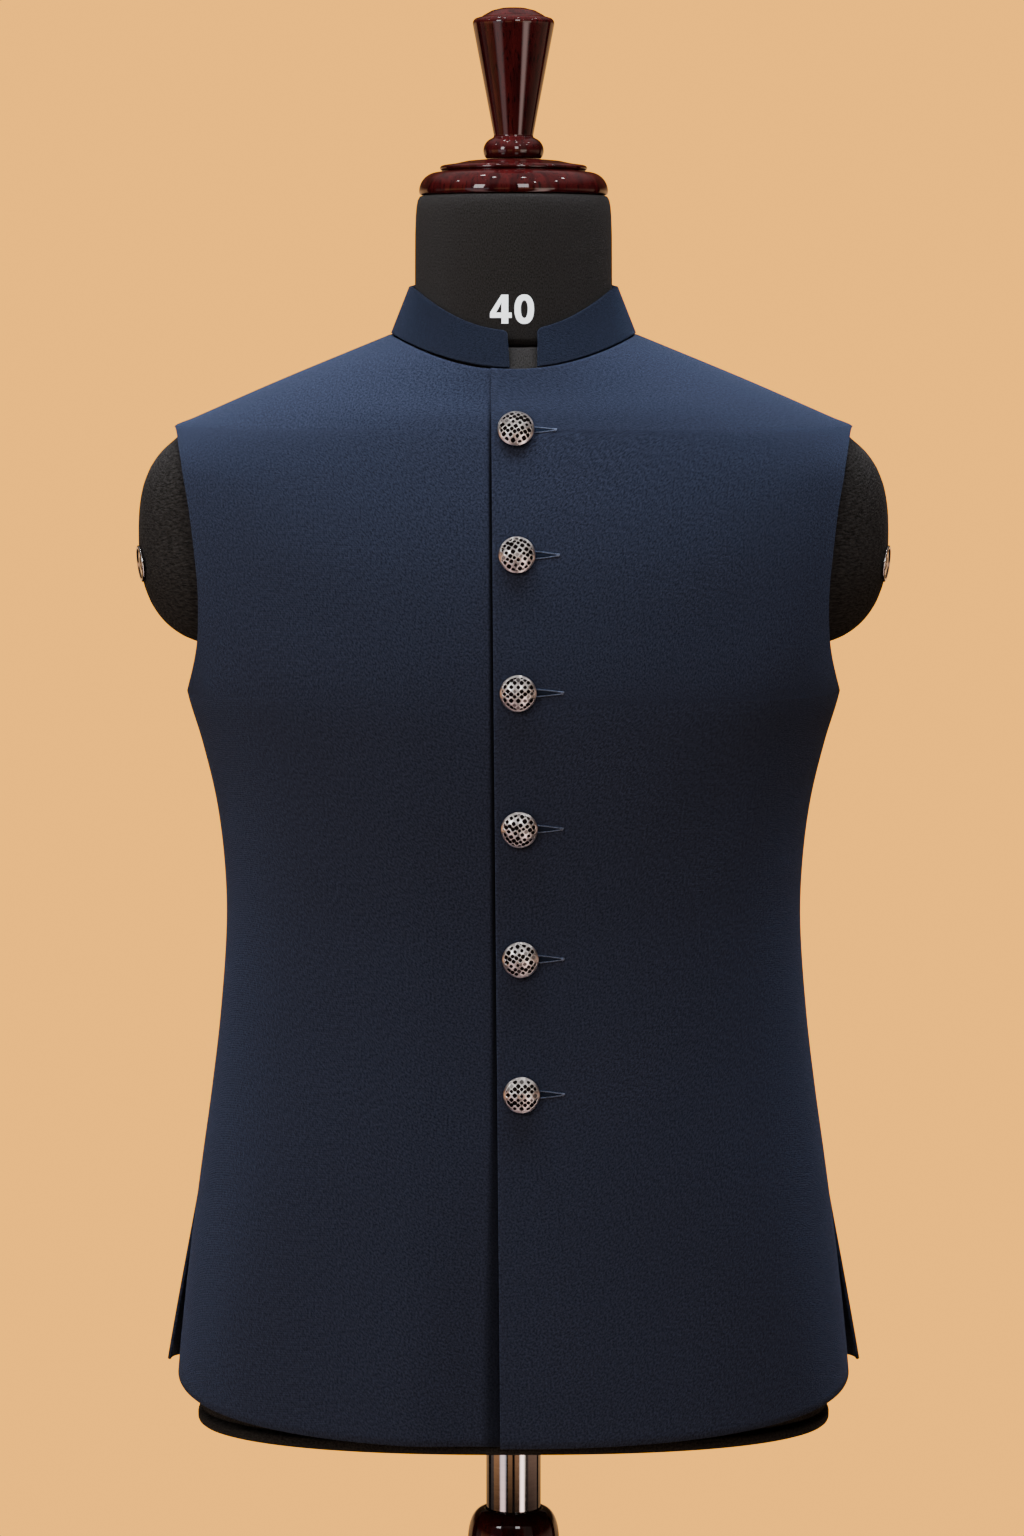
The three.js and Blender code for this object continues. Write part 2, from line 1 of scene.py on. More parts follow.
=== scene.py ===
# A navy band-collar waistcoat on a black, limbless dress form with a turned mahogany finial and stand.
# The pieces' sizes are in millimetres and the studio's in metres, in the part's own frame: the front faces -Y and the
# wearer's left is +X.
import math

import bmesh
import bpy
import numpy as np
from mathutils.geometry import tessellate_polygon
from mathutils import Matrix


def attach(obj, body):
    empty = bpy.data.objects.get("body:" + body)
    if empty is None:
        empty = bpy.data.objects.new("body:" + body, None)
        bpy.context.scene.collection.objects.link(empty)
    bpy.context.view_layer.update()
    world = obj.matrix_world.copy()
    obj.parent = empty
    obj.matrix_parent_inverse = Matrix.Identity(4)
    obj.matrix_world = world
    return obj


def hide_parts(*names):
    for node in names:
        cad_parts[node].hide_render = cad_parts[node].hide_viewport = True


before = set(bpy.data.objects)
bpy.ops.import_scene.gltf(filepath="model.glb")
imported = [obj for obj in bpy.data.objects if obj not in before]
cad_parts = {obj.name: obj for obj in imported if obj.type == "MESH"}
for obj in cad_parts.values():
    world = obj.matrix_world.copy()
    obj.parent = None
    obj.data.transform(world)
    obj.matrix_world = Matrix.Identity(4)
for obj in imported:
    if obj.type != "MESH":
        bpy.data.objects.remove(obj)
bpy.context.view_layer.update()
MM = 0.001


# ---- The place it stands in ---------------------------------------------------------------------------------------
# A plain pale floor in a studio hung all round with warm tan paper, which the camera sees evenly lit. In the gloss
# of the metal and the wood the studio is uneven: black where the camera and the gaps between the papers are.
FLOOR_HALF, FLOOR_BACK = 7, 2.6
FLOOR_COLOUR = (0.72, 0.50, 0.32)
PAPER_SEEN = (2.06, 0.855, 0.0765)
PAPER_AT_LARGE = (0.10, 0.068, 0.045)  # what it gives the matt surfaces
BLACK, TAN_BEHIND, TAN_BEFORE = (0.008, 0.006, 0.006), (1.0, 0.56, 0.27), (0.95, 0.47, 0.22)
STUDIO_ROUND = (  # degrees round from the camera towards the wearer's left, and the studio's brightness up to there
    (-131, TAN_BEHIND),
    (-110, BLACK),
    (-92, (0.27, 0.21, 0.185)),
    (-61, (1.25, 0.60, 0.28)),
    (-30, (1.15, 1.2, 1.35)),
    (-23.5, BLACK),
    (-5, TAN_BEFORE),
    (5.5, BLACK),
    (26.5, (1.05, 0.52, 0.26)),
    (51, (3.6, 3.1, 2.6)),
    (65, (0.20, 0.14, 0.12)),
    (117, (0.60, 0.36, 0.26)),
    (131, BLACK),
    (180, TAN_BEHIND),
)
STUDIO_BELOW = (  # the same for what lies well below the level of the eye
    (-58, BLACK),
    (-36, (1.9, 1.3, 1.25)),
    (29, BLACK),
    (45, (5.0, 3.6, 3.3)),
    (180, BLACK),
)
STUDIO_SOFT, BELOW_SOFT = 0.003, 0.022  # of a full turn, between one and the next
STUDIO_ABOVE = 0.07  # how much of that brightness is left above the level of the eye
STUDIO_CEILING = (0.42, 0.38, 0.37)
# How steeply up the eye looks where one turns into the next, as the height of its line of sight over its length.
LOW_PAPERS, PAPERS_END, CEILING_SEEN = (-0.12, -0.3), (-0.03, 0.12), (0.35, 0.75)


def feed(tree, made, inputs):
    """Set each of a node's inputs to the number or the colour given for it, or link it to the output given."""
    for key, value in inputs.items():
        socket = made.inputs[key]
        if isinstance(value, bpy.types.NodeSocket):
            tree.links.new(value, socket)
        else:
            socket.default_value = (*value, 1) if socket.type == "RGBA" else value


def node(tree, kind, inputs=None, **values):
    made = tree.nodes.new(kind)
    for name, value in values.items():
        setattr(made, name, value)
    feed(tree, made, inputs or {})
    return made


def math_node(tree, operation, *terms):
    return node(tree, "ShaderNodeMath", dict(enumerate(terms)), operation=operation).outputs[0]


def blend_colours(tree, factor, low, high):
    return node(tree, "ShaderNodeMix", {"Factor": factor, "A": low, "B": high}, data_type="RGBA").outputs["Result"]


def span(tree, value, low, high, out_low=0.0, out_high=1.0, **values):
    limits = {"Value": value, "From Min": low, "From Max": high, "To Min": out_low, "To Max": out_high}
    return node(tree, "ShaderNodeMapRange", limits, **values).outputs["Result"]


def new_material(name):
    material = bpy.data.materials.new(name)
    material.use_nodes = True
    return material, material.node_tree, material.node_tree.nodes["Principled BSDF"]


def put_in(name, data):
    made = bpy.data.objects.new(name, data)
    bpy.context.scene.collection.objects.link(made)
    return made


def studio_floor():
    mesh = bpy.data.meshes.new("studio_floor")
    sides = ((-1, -FLOOR_HALF), (1, -FLOOR_HALF), (1, FLOOR_BACK), (-1, FLOOR_BACK))
    mesh.from_pydata([(x * FLOOR_HALF, y, 0) for x, y in sides], [], [(0, 1, 2, 3)])
    material, tree, shader = new_material("studio_floor")
    feed(tree, shader, {"Base Color": FLOOR_COLOUR, "Roughness": 0.9})
    mesh.materials.append(material)
    floor = put_in("studio_floor", mesh)
    floor.visible_glossy = False


def studio_world():
    world = bpy.data.worlds.new("studio")
    world.use_nodes = True
    tree = world.node_tree
    way = node(tree, "ShaderNodeTexCoord").outputs["Generated"]
    x, y, z = node(tree, "ShaderNodeSeparateXYZ", {0: way}).outputs
    turn = math_node(tree, "ARCTAN2", x, math_node(tree, "MULTIPLY", y, -1))
    share = math_node(tree, "MULTIPLY_ADD", turn, 0.5 / math.pi, 0.5)

    def papers(bands, soft):
        made = node(tree, "ShaderNodeValToRGB", {"Fac": share})
        stops = made.color_ramp.elements
        marks = [(0.0, bands[0][1])]
        for (degrees, before), (_, after) in zip(bands, bands[1:]):
            place = degrees / 360 + 0.5
            marks += [(place - soft / 2, before), (place + soft / 2, after)]
        while len(stops) < len(marks):
            stops.new(1.0)
        for stop, (place, colour) in zip(stops, marks):
            stop.position, stop.color = place, (*colour, 1)
        return made.outputs["Color"]

    low = span(tree, z, *LOW_PAPERS, interpolation_type="SMOOTHSTEP")
    paper = blend_colours(tree, low, papers(STUDIO_ROUND, STUDIO_SOFT), papers(STUDIO_BELOW, BELOW_SOFT))
    level = span(tree, z, *PAPERS_END, 1, STUDIO_ABOVE)
    dimmed = node(tree, "ShaderNodeVectorMath", {0: paper, "Scale": level}, operation="SCALE").outputs[0]
    high = span(tree, z, *CEILING_SEEN, interpolation_type="SMOOTHSTEP")
    all_round = blend_colours(tree, high, dimmed, STUDIO_CEILING)
    ray = node(tree, "ShaderNodeLightPath").outputs
    lit = blend_colours(tree, ray["Is Glossy Ray"], PAPER_AT_LARGE, all_round)
    seen = blend_colours(tree, ray["Is Camera Ray"], lit, PAPER_SEEN)
    feed(tree, tree.nodes["Background"], {"Color": seen})
    bpy.context.scene.world = world


studio_floor()
studio_world()

# Soft boxes light the front evenly from both sides, cooler ones the shoulders from above, and a last one the back.
# The small round lamps in the ceiling hardly light anything: they are the bright dots in the gloss.
WHITE, COOL = (1, 1, 1), (0.74, 0.86, 1.0)


def soft_box(name, place, aim, size, power, colour, in_gloss):
    data = bpy.data.lights.new(name, "AREA")
    data.shape = "RECTANGLE"
    data.size, data.size_y = size
    data.energy = power
    data.color = colour
    lamp = put_in(name, data)
    lamp.visible_camera = False
    lamp.visible_glossy = in_gloss
    away = [a - b for a, b in zip(place, aim)]
    level = math.hypot(away[0], away[1])
    lamp.location = place
    lamp.rotation_euler = (math.atan2(level, away[2]), 0, math.atan2(away[0], -away[1]))


def round_the_axis(degrees, distance, height):
    turn = math.radians(degrees)
    return distance * math.sin(turn), -distance * math.cos(turn), height


SOFT_BOXES = (
    # degrees round from the camera, distance, height, height aimed at, width, length, power, colour, in the gloss
    ("tall_left", -56, 2.4, 1.3, 1.22, 1.2, 2.3, 25, WHITE, False),
    ("high_left", -34, 2.0, 2.6, 1.3, 0.6, 0.6, 14, WHITE, False),
    ("high_right", 4, 2.0, 2.8, 1.25, 0.6, 0.6, 19, WHITE, False),
    ("key_left", -43, 2.2, 2.15, 1.3, 0.5, 0.8, 17, WHITE, True),
    ("key_right", 12, 2.2, 2.3, 1.3, 0.5, 0.8, 14, WHITE, True),
    ("over_left", -52, 0.45, 2.65, 1.38, 0.5, 0.5, 53, COOL, False),
    ("over_right", 52, 0.45, 2.65, 1.38, 0.5, 0.5, 53, COOL, False),
    ("top_back", 180, 0.9, 3.0, 1.4, 1.7, 0.7, 42, COOL, False),
    ("behind", 180, 2.5, 1.5, 1.2, 1.6, 2.0, 30, WHITE, False),
)
for name, turn, distance, height, aim, width, length, power, colour, in_gloss in SOFT_BOXES:
    soft_box(name, round_the_axis(turn, distance, height), (0, 0, aim), (width, length), power, colour, in_gloss)
CEILING, DOT_AIM, DOT_SIZE, DOT_POWER = 3.2, 1.55, 0.09, 1.5
CEILING_LAMPS = ((-86, 2.0), (30, 2.0), (65, 1.8), (-50, 0.6), (24, 0.6), (-108, 0.6), (92, 1.3))
for number, (turn, distance) in enumerate(CEILING_LAMPS):
    place = round_the_axis(turn, distance, CEILING)
    soft_box(f"ceiling_{number}", place, (0, 0, DOT_AIM), (DOT_SIZE, DOT_SIZE), DOT_POWER, WHITE, True)

# The camera stands at the height of the collar and looks a little down.
CAMERA_DISTANCE = 3.185
CAMERA_HEIGHT = 1.442
CAMERA_X = -0.001
CAMERA_PITCH = math.radians(4.9)
FOCAL_PIXELS = 4900
IMAGE_HEIGHT = 1536
lens_data = bpy.data.cameras.new("camera")
lens_data.lens = FOCAL_PIXELS / IMAGE_HEIGHT * lens_data.sensor_width
camera = put_in("camera", lens_data)
camera.location = (CAMERA_X, -CAMERA_DISTANCE, CAMERA_HEIGHT)
camera.rotation_euler = (math.pi / 2 - CAMERA_PITCH, 0, 0)
bpy.context.scene.camera = camera


# ---- The waistcoat's cloth ----------------------------------------------------------------------------------------
# A closely woven navy wool suiting with a canvas behind it. It is matt, with a short nap that turns blue where the
# light grazes it. The weave runs with each piece's own threads, which the map "threads" follows, in millimetres.
def noise(tree, place, scale, detail=2.0, inputs=None, **values):
    given = {"Vector": place, "Scale": scale, "Detail": detail, **(inputs or {})}
    return node(tree, "ShaderNodeTexNoise", given, **values).outputs["Fac"]


def weave_group():
    """The threads' height, 1 on a thread's back and 0 between threads, and the unevenness of the yarn."""
    group = bpy.data.node_groups.new("plain_weave", "ShaderNodeTree")
    for name, direction in (("Threads per mm", "INPUT"), ("Height", "OUTPUT"), ("Fleck", "OUTPUT")):
        group.interface.new_socket(name=name, in_out=direction, socket_type="NodeSocketFloat")
    threads = node(group, "ShaderNodeUVMap", uv_map="threads").outputs["UV"]
    split = node(group, "ShaderNodeSeparateXYZ", {0: threads}).outputs
    bend = math_node(group, "MULTIPLY", noise(group, threads, 0.35, 3, noise_dimensions="2D"), 1.6)
    rate = math_node(group, "MULTIPLY", node(group, "NodeGroupInput").outputs[0], math.pi)
    warp, weft = (
        math_node(group, "SINE", math_node(group, "MULTIPLY", math_node(group, "ADD", split[name], bend), rate))
        for name in ("X", "Y")
    )
    top = math_node(group, "GREATER_THAN", math_node(group, "MULTIPLY", warp, weft), 0)
    lifted = math_node(group, "MULTIPLY", math_node(group, "ABSOLUTE", warp), top)
    below = math_node(group, "SUBTRACT", 1, top)
    height = math_node(group, "MULTIPLY_ADD", math_node(group, "ABSOLUTE", weft), below, lifted)
    fleck = noise(group, threads, 0.72, 3, {"Roughness": 0.7}, noise_dimensions="2D")
    node(group, "NodeGroupOutput", {"Height": height, "Fleck": fleck})
    return group


WEAVE = weave_group()
SUITING_DARK = (0.0040, 0.0045, 0.0073)
SUITING_LIGHT = (0.0188, 0.0211, 0.0348)
SUITING_NAP = (0.30, 0.38, 0.66)
PAINTED_SHADE_COLOUR = (0.0009, 0.0010, 0.0015)  # painted shade: the colour the cloth takes where its painted-shade attribute is 1, in the fold beside the lap and over the collar


def cloth_material(name, dark, light, nap, nap_weight, threads_per_mm, bump):
    material, tree, shader = new_material(name)
    weave = node(tree, "ShaderNodeGroup", {"Threads per mm": threads_per_mm}, node_tree=WEAVE).outputs
    fleck = span(tree, weave["Fleck"], 0.34, 0.66)
    # Partly the yarn's own uneven tone and partly painted shade: the colour is lighter on the threads' backs and
    # darker between the threads.
    fleck_and_weave_shade = math_node(tree, "MULTIPLY_ADD", fleck, 0.75, math_node(tree, "MULTIPLY", weave["Height"], 0.25))
    # Painted shade: an attribute set on some pieces darkens their colour toward the shade colour.
    painted_shade = node(tree, "ShaderNodeAttribute", attribute_name="painted_shade").outputs["Fac"]
    height = math_node(tree, "MULTIPLY_ADD", weave["Fleck"], 1.4, weave["Height"])
    relief = node(tree, "ShaderNodeBump", {"Strength": bump, "Distance": 0.25 * MM, "Height": height})
    looks = {
        "Base Color": blend_colours(tree, painted_shade, blend_colours(tree, fleck_and_weave_shade, dark, light), PAINTED_SHADE_COLOUR),
        "Roughness": span(tree, fleck, 0, 1, 0.9, 0.72),
        "Specular IOR Level": 0.06,
        "Sheen Weight": nap_weight,
        "Sheen Roughness": 0.35,
        "Sheen Tint": nap,
        "Normal": relief.outputs["Normal"],
    }
    feed(tree, shader, looks)
    return material


SUITING = cloth_material("navy_suiting", SUITING_DARK, SUITING_LIGHT, SUITING_NAP, 0.1, 1.4, 0.75)

# The shape of the cloth's outer face, in millimetres: half the width at each height, how far the front and the back
# lie from the axis, and how square the section is. An angle of 0 is the front centre line, and 90 degrees is the
# wearer's left side. The height is measured at the side.
SECTIONS = np.array(
    [
        # height, half width, front, back, squareness
        (1451, 79.5, 86, 70, 2.05),
        (1422, 150, 97, 86, 2.0),
        (1397, 207.4, 104, 95, 2.03),
        (1391.5, 220, 105.7, 96.7, 2.05),
        (1365, 229.5, 113.5, 104, 2.12),
        (1335, 229.5, 121, 110, 2.2),
        (1300, 225, 126.5, 113, 2.3),
        (1255, 217.5, 129.5, 111, 2.38),
        (1220, 212, 129.5, 108, 2.4),
        (1188, 202.5, 127.5, 103.5, 2.4),
        (1150, 193.5, 124.5, 98, 2.4),
        (1110, 188.5, 121, 92.5, 2.4),
        (1069, 187.3, 118.5, 90, 2.4),
        (1010, 191.5, 118, 93, 2.42),
        (960, 197.5, 119.5, 97.5, 2.44),
        (910, 204.6, 122, 102, 2.45),
        (850, 212.5, 125.5, 107, 2.43),
        (790, 219, 129, 111.5, 2.4),
        (735, 223.5, 131.5, 114.5, 2.4),
    ]
)
HEIGHT, HALF, FRONT, BACK, ROUND = range(5)
NECK, SHOULDER, UNDERARM = 1451, 1391.5, 1220
FRONT_NECK_DROP, BACK_NECK_RISE = 22, 12
NECK_TILT_FROM = 1377.5  # where the level sections start to tilt towards the neckline
ROLL_FOOT, ROLL_TOP = 1358, 1420  # the cloth rolls gently over the shoulders between these heights
SIDE = math.pi / 2


def column(rows, index, height):
    """One column of a table at a height, on a smooth curve through the rows."""
    h, v = rows[:, HEIGHT], rows[:, index]
    above = np.maximum(np.arange(len(h)) - 1, 0)
    below = np.minimum(np.arange(len(h)) + 1, len(h) - 1)
    slope = (v[above] - v[below]) / (h[above] - h[below])
    i = np.clip(np.searchsorted(-h, -np.asarray(height, float)) - 1, 0, len(h) - 2)
    gap = h[i + 1] - h[i]
    t = np.clip((height - h[i]) / gap, 0, 1)
    return (
        (1 + 2 * t) * (1 - t) ** 2 * v[i]
        + t * (1 - t) ** 2 * gap * slope[i]
        + t * t * (3 - 2 * t) * v[i + 1]
        + t * t * (t - 1) * gap * slope[i + 1]
    )


def smooth(t):
    s = np.clip(t, 0, 1)
    return s * s * (3 - 2 * s)


def lerp(a, b, t):
    return a + (b - a) * t


def rolled_half(height):
    """Half the width as it would be if the line of the shoulder ran into the side without a corner."""
    low, high = column(SECTIONS, HALF, ROLL_FOOT), column(SECTIONS, HALF, ROLL_TOP)
    low_slope = low - column(SECTIONS, HALF, ROLL_FOOT - 1)
    high_slope = column(SECTIONS, HALF, ROLL_TOP + 1) - high
    gap = ROLL_TOP - ROLL_FOOT
    t = np.clip((height - ROLL_FOOT) / gap, 0, 1)
    curve = lerp(low, high, t * t * (3 - 2 * t)) + gap * t * (1 - t) * ((1 - t) * low_slope - t * high_slope)
    return np.where((t > 0) & (t < 1), curve, column(SECTIONS, HALF, height))


def xyz(x, y, z):
    return np.stack(np.broadcast_arrays(x, y, z), axis=-1)


def face_point(angle, height, widen=0.0):
    angle, height = np.broadcast_arrays(np.asarray(angle, float), np.asarray(height, float))
    squareness, half = column(SECTIONS, ROUND, height), column(SECTIONS, HALF, height)
    across, ahead = np.sin(angle), np.cos(angle)
    reach = np.where(ahead > 0, column(SECTIONS, FRONT, height), column(SECTIONS, BACK, height))
    rise = np.clip((height - NECK_TILT_FROM) / (NECK - NECK_TILT_FROM), 0, 1)
    tilt = rise**3 * (10 - 15 * rise + 6 * rise**2)
    wider = (half / rolled_half(height)) ** squareness - 1
    depth = np.maximum(1 - across**2 * (1 + wider * (1 - np.exp(-6 * ahead**2))), 0) ** (1 / squareness)
    return xyz(
        (half + widen) * np.sign(across) * np.abs(across) ** (2 / squareness),
        -reach * np.sign(ahead) * depth,
        height + tilt * ahead**2 * np.where(ahead > 0, -FRONT_NECK_DROP, BACK_NECK_RISE),
    )


def normals_of(surface, angle, height):
    turn, lift = 0.004, 0.5
    around = surface(angle + turn, height) - surface(angle - turn, height)
    up = surface(angle, height + lift) - surface(angle, height - lift)
    out = np.cross(around, up)
    return out / np.linalg.norm(out, axis=-1, keepdims=True)


def angle_at(x, height):
    half, power = column(SECTIONS, HALF, height), column(SECTIONS, ROUND, height) / 2
    return np.sign(x) * np.arcsin((np.abs(x) / half) ** power)


# Where the cloth gives way a little as it hangs: long soft troughs (depth below 0) and ridges, each from one angle
# and height to another. The canvas in the fronts keeps theirs shallow.
DRAPE = [
    # from degrees, from height, to degrees, to height, width, depth
    (62, 1235, 30, 1120, 24, -1.1),
    (70, 1205, 44, 1085, 20, -0.8),
    (-60, 1240, -34, 1128, 24, -1.0),
    (-72, 1200, -40, 1070, 22, -0.9),
    (52, 1330, 26, 1235, 34, -1.3),
    (-53, 1328, -24, 1240, 34, -1.5),
    (40, 960, 46, 780, 38, 1.5),
    (-38, 980, -50, 775, 40, 1.6),
    (22, 900, 24, 760, 34, -1.1),
    (-26, 920, -22, 765, 30, -0.9),
    (66, 940, 70, 790, 28, -1.2),
    (-68, 950, -66, 790, 30, -1.3),
    (132, 1300, 150, 1120, 34, -2.0),
    (-130, 1296, -152, 1130, 36, -1.8),
    (118, 1210, 138, 1100, 20, -1.2),
    (-116, 1205, -140, 1096, 22, -1.3),
    (160, 1085, 196, 1078, 12, -0.9),
    (150, 1052, 190, 1058, 10, -0.7),
    (176, 1300, 181, 1130, 30, -1.2),
    (150, 1010, 152, 780, 36, 1.7),
    (-148, 1000, -150, 780, 34, 1.5),
    (168, 960, 170, 775, 26, -1.4),
    (-170, 970, -169, 775, 28, -1.2),
    (116, 980, 112, 785, 30, -1.5),
    (-114, 990, -112, 785, 28, -1.3),
]
MM_PER_RADIAN = 150  # round the body, for how far apart two places on the cloth are
FLAT_BY_LAP = 40  # how far from the front's middle the canvas lets the drape begin


def drape(angle, height):
    turned = np.degrees(np.asarray(angle, float))
    lift = np.zeros(np.broadcast(turned, height).shape)
    for from_turn, from_height, to_turn, to_height, width, depth in DRAPE:
        x, run = (np.radians((t - from_turn + 180) % 360 - 180) * MM_PER_RADIAN for t in (turned, to_turn))
        z, fall = height - from_height, to_height - from_height
        length = math.hypot(run, fall)
        share = np.clip((x * run + z * fall) / length**2, -0.25, 1.25)
        fade = np.sin(np.pi * (share + 0.25) / 1.5) ** 2
        lift += depth * fade * np.exp(-(((x * fall - z * run) / length / width) ** 2))
    return lift


# A shell of cloth from a grid of outer points and normals, its edges turned in over a small round.
CLOTH, EDGE_ROUND, EDGE_STEPS = 2.4, 0.7, 4


def corners_of(mesh):
    corners = np.empty(len(mesh.loops), np.int32)
    mesh.loops.foreach_get("vertex_index", corners)
    return corners


def places_of(made):
    places = np.empty(len(made.data.vertices) * 3, np.float32)
    made.data.vertices.foreach_get("co", places)
    return places.reshape(-1, 3) / MM


def mark(made, name, values):
    """Give each point of a piece a number that its material reads."""
    made.data.attributes.new(name, "FLOAT", "POINT").data.foreach_set("value", np.asarray(values, np.float32))


def belong(made, stands_for=None):
    """Put a piece on the part's one body, in place of a solid where it stands for one."""
    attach(made, "root")
    if stands_for:
        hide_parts(stands_for)
    return made


def add_object(name, points, faces, materials, uv=None, face_materials=None):
    mesh = bpy.data.meshes.new(name)
    mesh.from_pydata((np.asarray(points) * MM).tolist(), [], faces)
    if uv is not None:
        threads = np.asarray(uv, np.float32)[corners_of(mesh)]
        mesh.uv_layers.new(name="threads").data.foreach_set("uv", threads.ravel())
    for material in materials:
        mesh.materials.append(material)
    if face_materials is not None:
        mesh.polygons.foreach_set("material_index", face_materials)
    mesh.polygons.foreach_set("use_smooth", [True] * len(mesh.polygons))
    mesh.validate()
    mesh.update()
    return put_in(name, mesh)


def unit(v):
    return v / np.maximum(np.linalg.norm(v, axis=-1, keepdims=True), 1e-9)


def cloth_shell(name, points, normals, material, thickness=CLOTH):
    rows, columns = points.shape[:2]
    points = points.copy()
    out = np.zeros_like(points)
    out[:, 0] += unit(points[:, 0] - points[:, 1])
    out[:, -1] += unit(points[:, -1] - points[:, -2])
    out[0] += unit(points[0] - points[1])
    out[-1] += unit(points[-1] - points[-2])
    points -= out * EDGE_ROUND
    run = np.linalg.norm(np.diff(points, axis=1), axis=-1).cumsum(axis=1)
    u = np.concatenate([np.zeros((rows, 1)), run], axis=1)
    u -= u[:, columns // 2 : columns // 2 + 1]
    drop = np.linalg.norm(np.diff(points, axis=0), axis=-1).cumsum(axis=0)
    v = -np.concatenate([np.zeros((1, columns)), drop], axis=0)
    threads = np.stack([u, v], axis=-1)
    index = np.arange(rows * columns).reshape(rows, columns)
    loop = np.concatenate([index[0, :-1], index[:-1, -1], index[-1, :0:-1], index[:0:-1, 0]])
    flat_points, flat_normals, flat_out = (a.reshape(-1, 3) for a in (points, normals, out))
    flat_uv = threads.reshape(-1, 2)
    count = rows * columns
    blocks = [flat_points, flat_points - flat_normals * thickness]
    maps = [flat_uv, flat_uv]
    rings = [loop]
    for k in range(1, EDGE_STEPS):
        turn = math.pi * k / EDGE_STEPS
        ring = flat_points[loop] - flat_normals[loop] * thickness / 2 * (1 - math.cos(turn))
        blocks.append(ring + flat_out[loop] * EDGE_ROUND * math.sin(turn))
        maps.append(flat_uv[loop])
        rings.append(2 * count + (k - 1) * len(loop) + np.arange(len(loop)))
    rings.append(loop + count)
    a, b, c, d = index[:-1, :-1], index[:-1, 1:], index[1:, 1:], index[1:, :-1]
    outer = np.stack([a, d, c, b], axis=-1).reshape(-1, 4)
    faces = [outer, outer[:, ::-1] + count]
    for first, second in zip(rings, rings[1:]):
        faces.append(np.stack([first, np.roll(first, -1), np.roll(second, -1), second], axis=-1))
    return add_object(name, np.concatenate(blocks), np.concatenate(faces).tolist(), [material], np.concatenate(maps))


# ---- The two fronts -----------------------------------------------------------------------------------------------
# Each front is one piece from the shoulder seam to the hem, cut away round the armhole and open below the side seam.
# The wearer's left one laps over the right one, and the right one falls in a little below the last button.
ARMHOLE_SQUARE_UPPER, ARMHOLE_SQUARE_LOWER = 2.6, 2.2
FRONT_SCYE, BACK_SCYE = math.radians(27.5), math.radians(26)
FRONT_HEM, FRONT_HEM_RISE = 747, 27
LAP_EDGE_TOP, LAP_EDGE_FOOT = -14.5, -8.4
UNDERLAP = 14
LAP_GAP = 0.5
HEM_SINK, HEM_SINK_FROM = 6, 940
LAP_ZONE = 32  # how far from the middle the right front's mesh is fine, for the fold beside the lap
LAP_SHADOWS = np.array(
    [
        # height, width of the shadow beside the lap edge, how dark it is
        (747, 9.6, 0.62),
        (791, 9.2, 0.64),
        (829, 8.2, 0.68),
        (867, 6.8, 0.72),
        (905, 5.6, 0.78),
        (950, 4.2, 0.85),
        (1010, 3.2, 0.95),
        (1100, 2.8, 1),
        (1227, 2.4, 1),
        (1350, 2.0, 1),
        (1392, 1.9, 0.8),
        (1415, 1.6, 0),
    ]
)
YOKE, ARMHOLE, BODY = 40, 70, 90  # rows from the neck to the shoulder's end, to the underarm and to the hem
FRONT_COLUMNS = 96
SEAM_HALF = 0.15


def row_heights(hem):
    row = np.arange(YOKE + ARMHOLE + BODY + 1)[:, None]
    yoke = lerp(NECK, SHOULDER, row / YOKE)
    armhole = lerp(SHOULDER, UNDERARM, (1 - np.cos(np.pi * (row - YOKE) / ARMHOLE)) / 2)
    body = lerp(UNDERARM, hem, (row - YOKE - ARMHOLE) / BODY)
    return np.where(row <= YOKE, yoke, np.where(row <= YOKE + ARMHOLE, armhole, body))


def scye(height, depth):
    t = np.clip((SHOULDER - height) / (SHOULDER - UNDERARM), 0, 1)
    power = np.where(t < 0.5, ARMHOLE_SQUARE_UPPER, ARMHOLE_SQUARE_LOWER)
    return depth * (1 - np.abs(1 - 2 * t) ** power) ** (1 / power)


def beside_seam(height):
    return SIDE - (SEAM_HALF / column(SECTIONS, FRONT, height)) ** (column(SECTIONS, ROUND, height) / 2)


def lap_edge(height):
    return lerp(LAP_EDGE_TOP, LAP_EDGE_FOOT, (NECK - height) / (NECK - FRONT_HEM))


def lap_sink(x, height):
    down = smooth((x + 70) / 50)
    return down * (CLOTH + LAP_GAP + HEM_SINK * smooth((HEM_SINK_FROM - height) / (HEM_SINK_FROM - FRONT_HEM)))


def across_share(columns):
    """Columns closer together near the two edges."""
    t = np.linspace(0, 1, columns + 1)
    return lerp(t, (1 - np.cos(np.pi * t)) / 2, 0.45)[None, :]


def front(side):
    level = row_heights(FRONT_HEM)
    outer = np.minimum(beside_seam(level), SIDE - scye(level, FRONT_SCYE))
    if side > 0:
        turn = lerp(angle_at(lap_edge(level), level), outer, across_share(FRONT_COLUMNS))
    else:
        near = angle_at(np.linspace(-UNDERLAP, LAP_ZONE, UNDERLAP + LAP_ZONE + 1)[None, :], level)
        beyond = lerp(near[:, -1:], outer, across_share(FRONT_COLUMNS - LAP_ZONE // 2))
        turn = np.concatenate([near[:, :-1], beyond], axis=1)
    height = row_heights(FRONT_HEM + FRONT_HEM_RISE * np.abs(turn / SIDE) ** 1.7)
    points = face_point(side * turn, height)
    normals = normals_of(face_point, side * turn, height)
    lift = drape(side * turn, height) * smooth(np.abs(points[..., 0]) / FLAT_BY_LAP)
    if side < 0:
        lift = lift - lap_sink(points[..., 0], height)
    points += normals * lift[..., None]
    if side < 0:
        points, normals = points[:, ::-1], normals[:, ::-1]
    return points, normals


front_left = cloth_shell("front_left_cloth", *front(1), SUITING)
front_right = cloth_shell("front_right_cloth", *front(-1), SUITING)
belong(front_left, "front_left")
belong(front_right, "front_right")
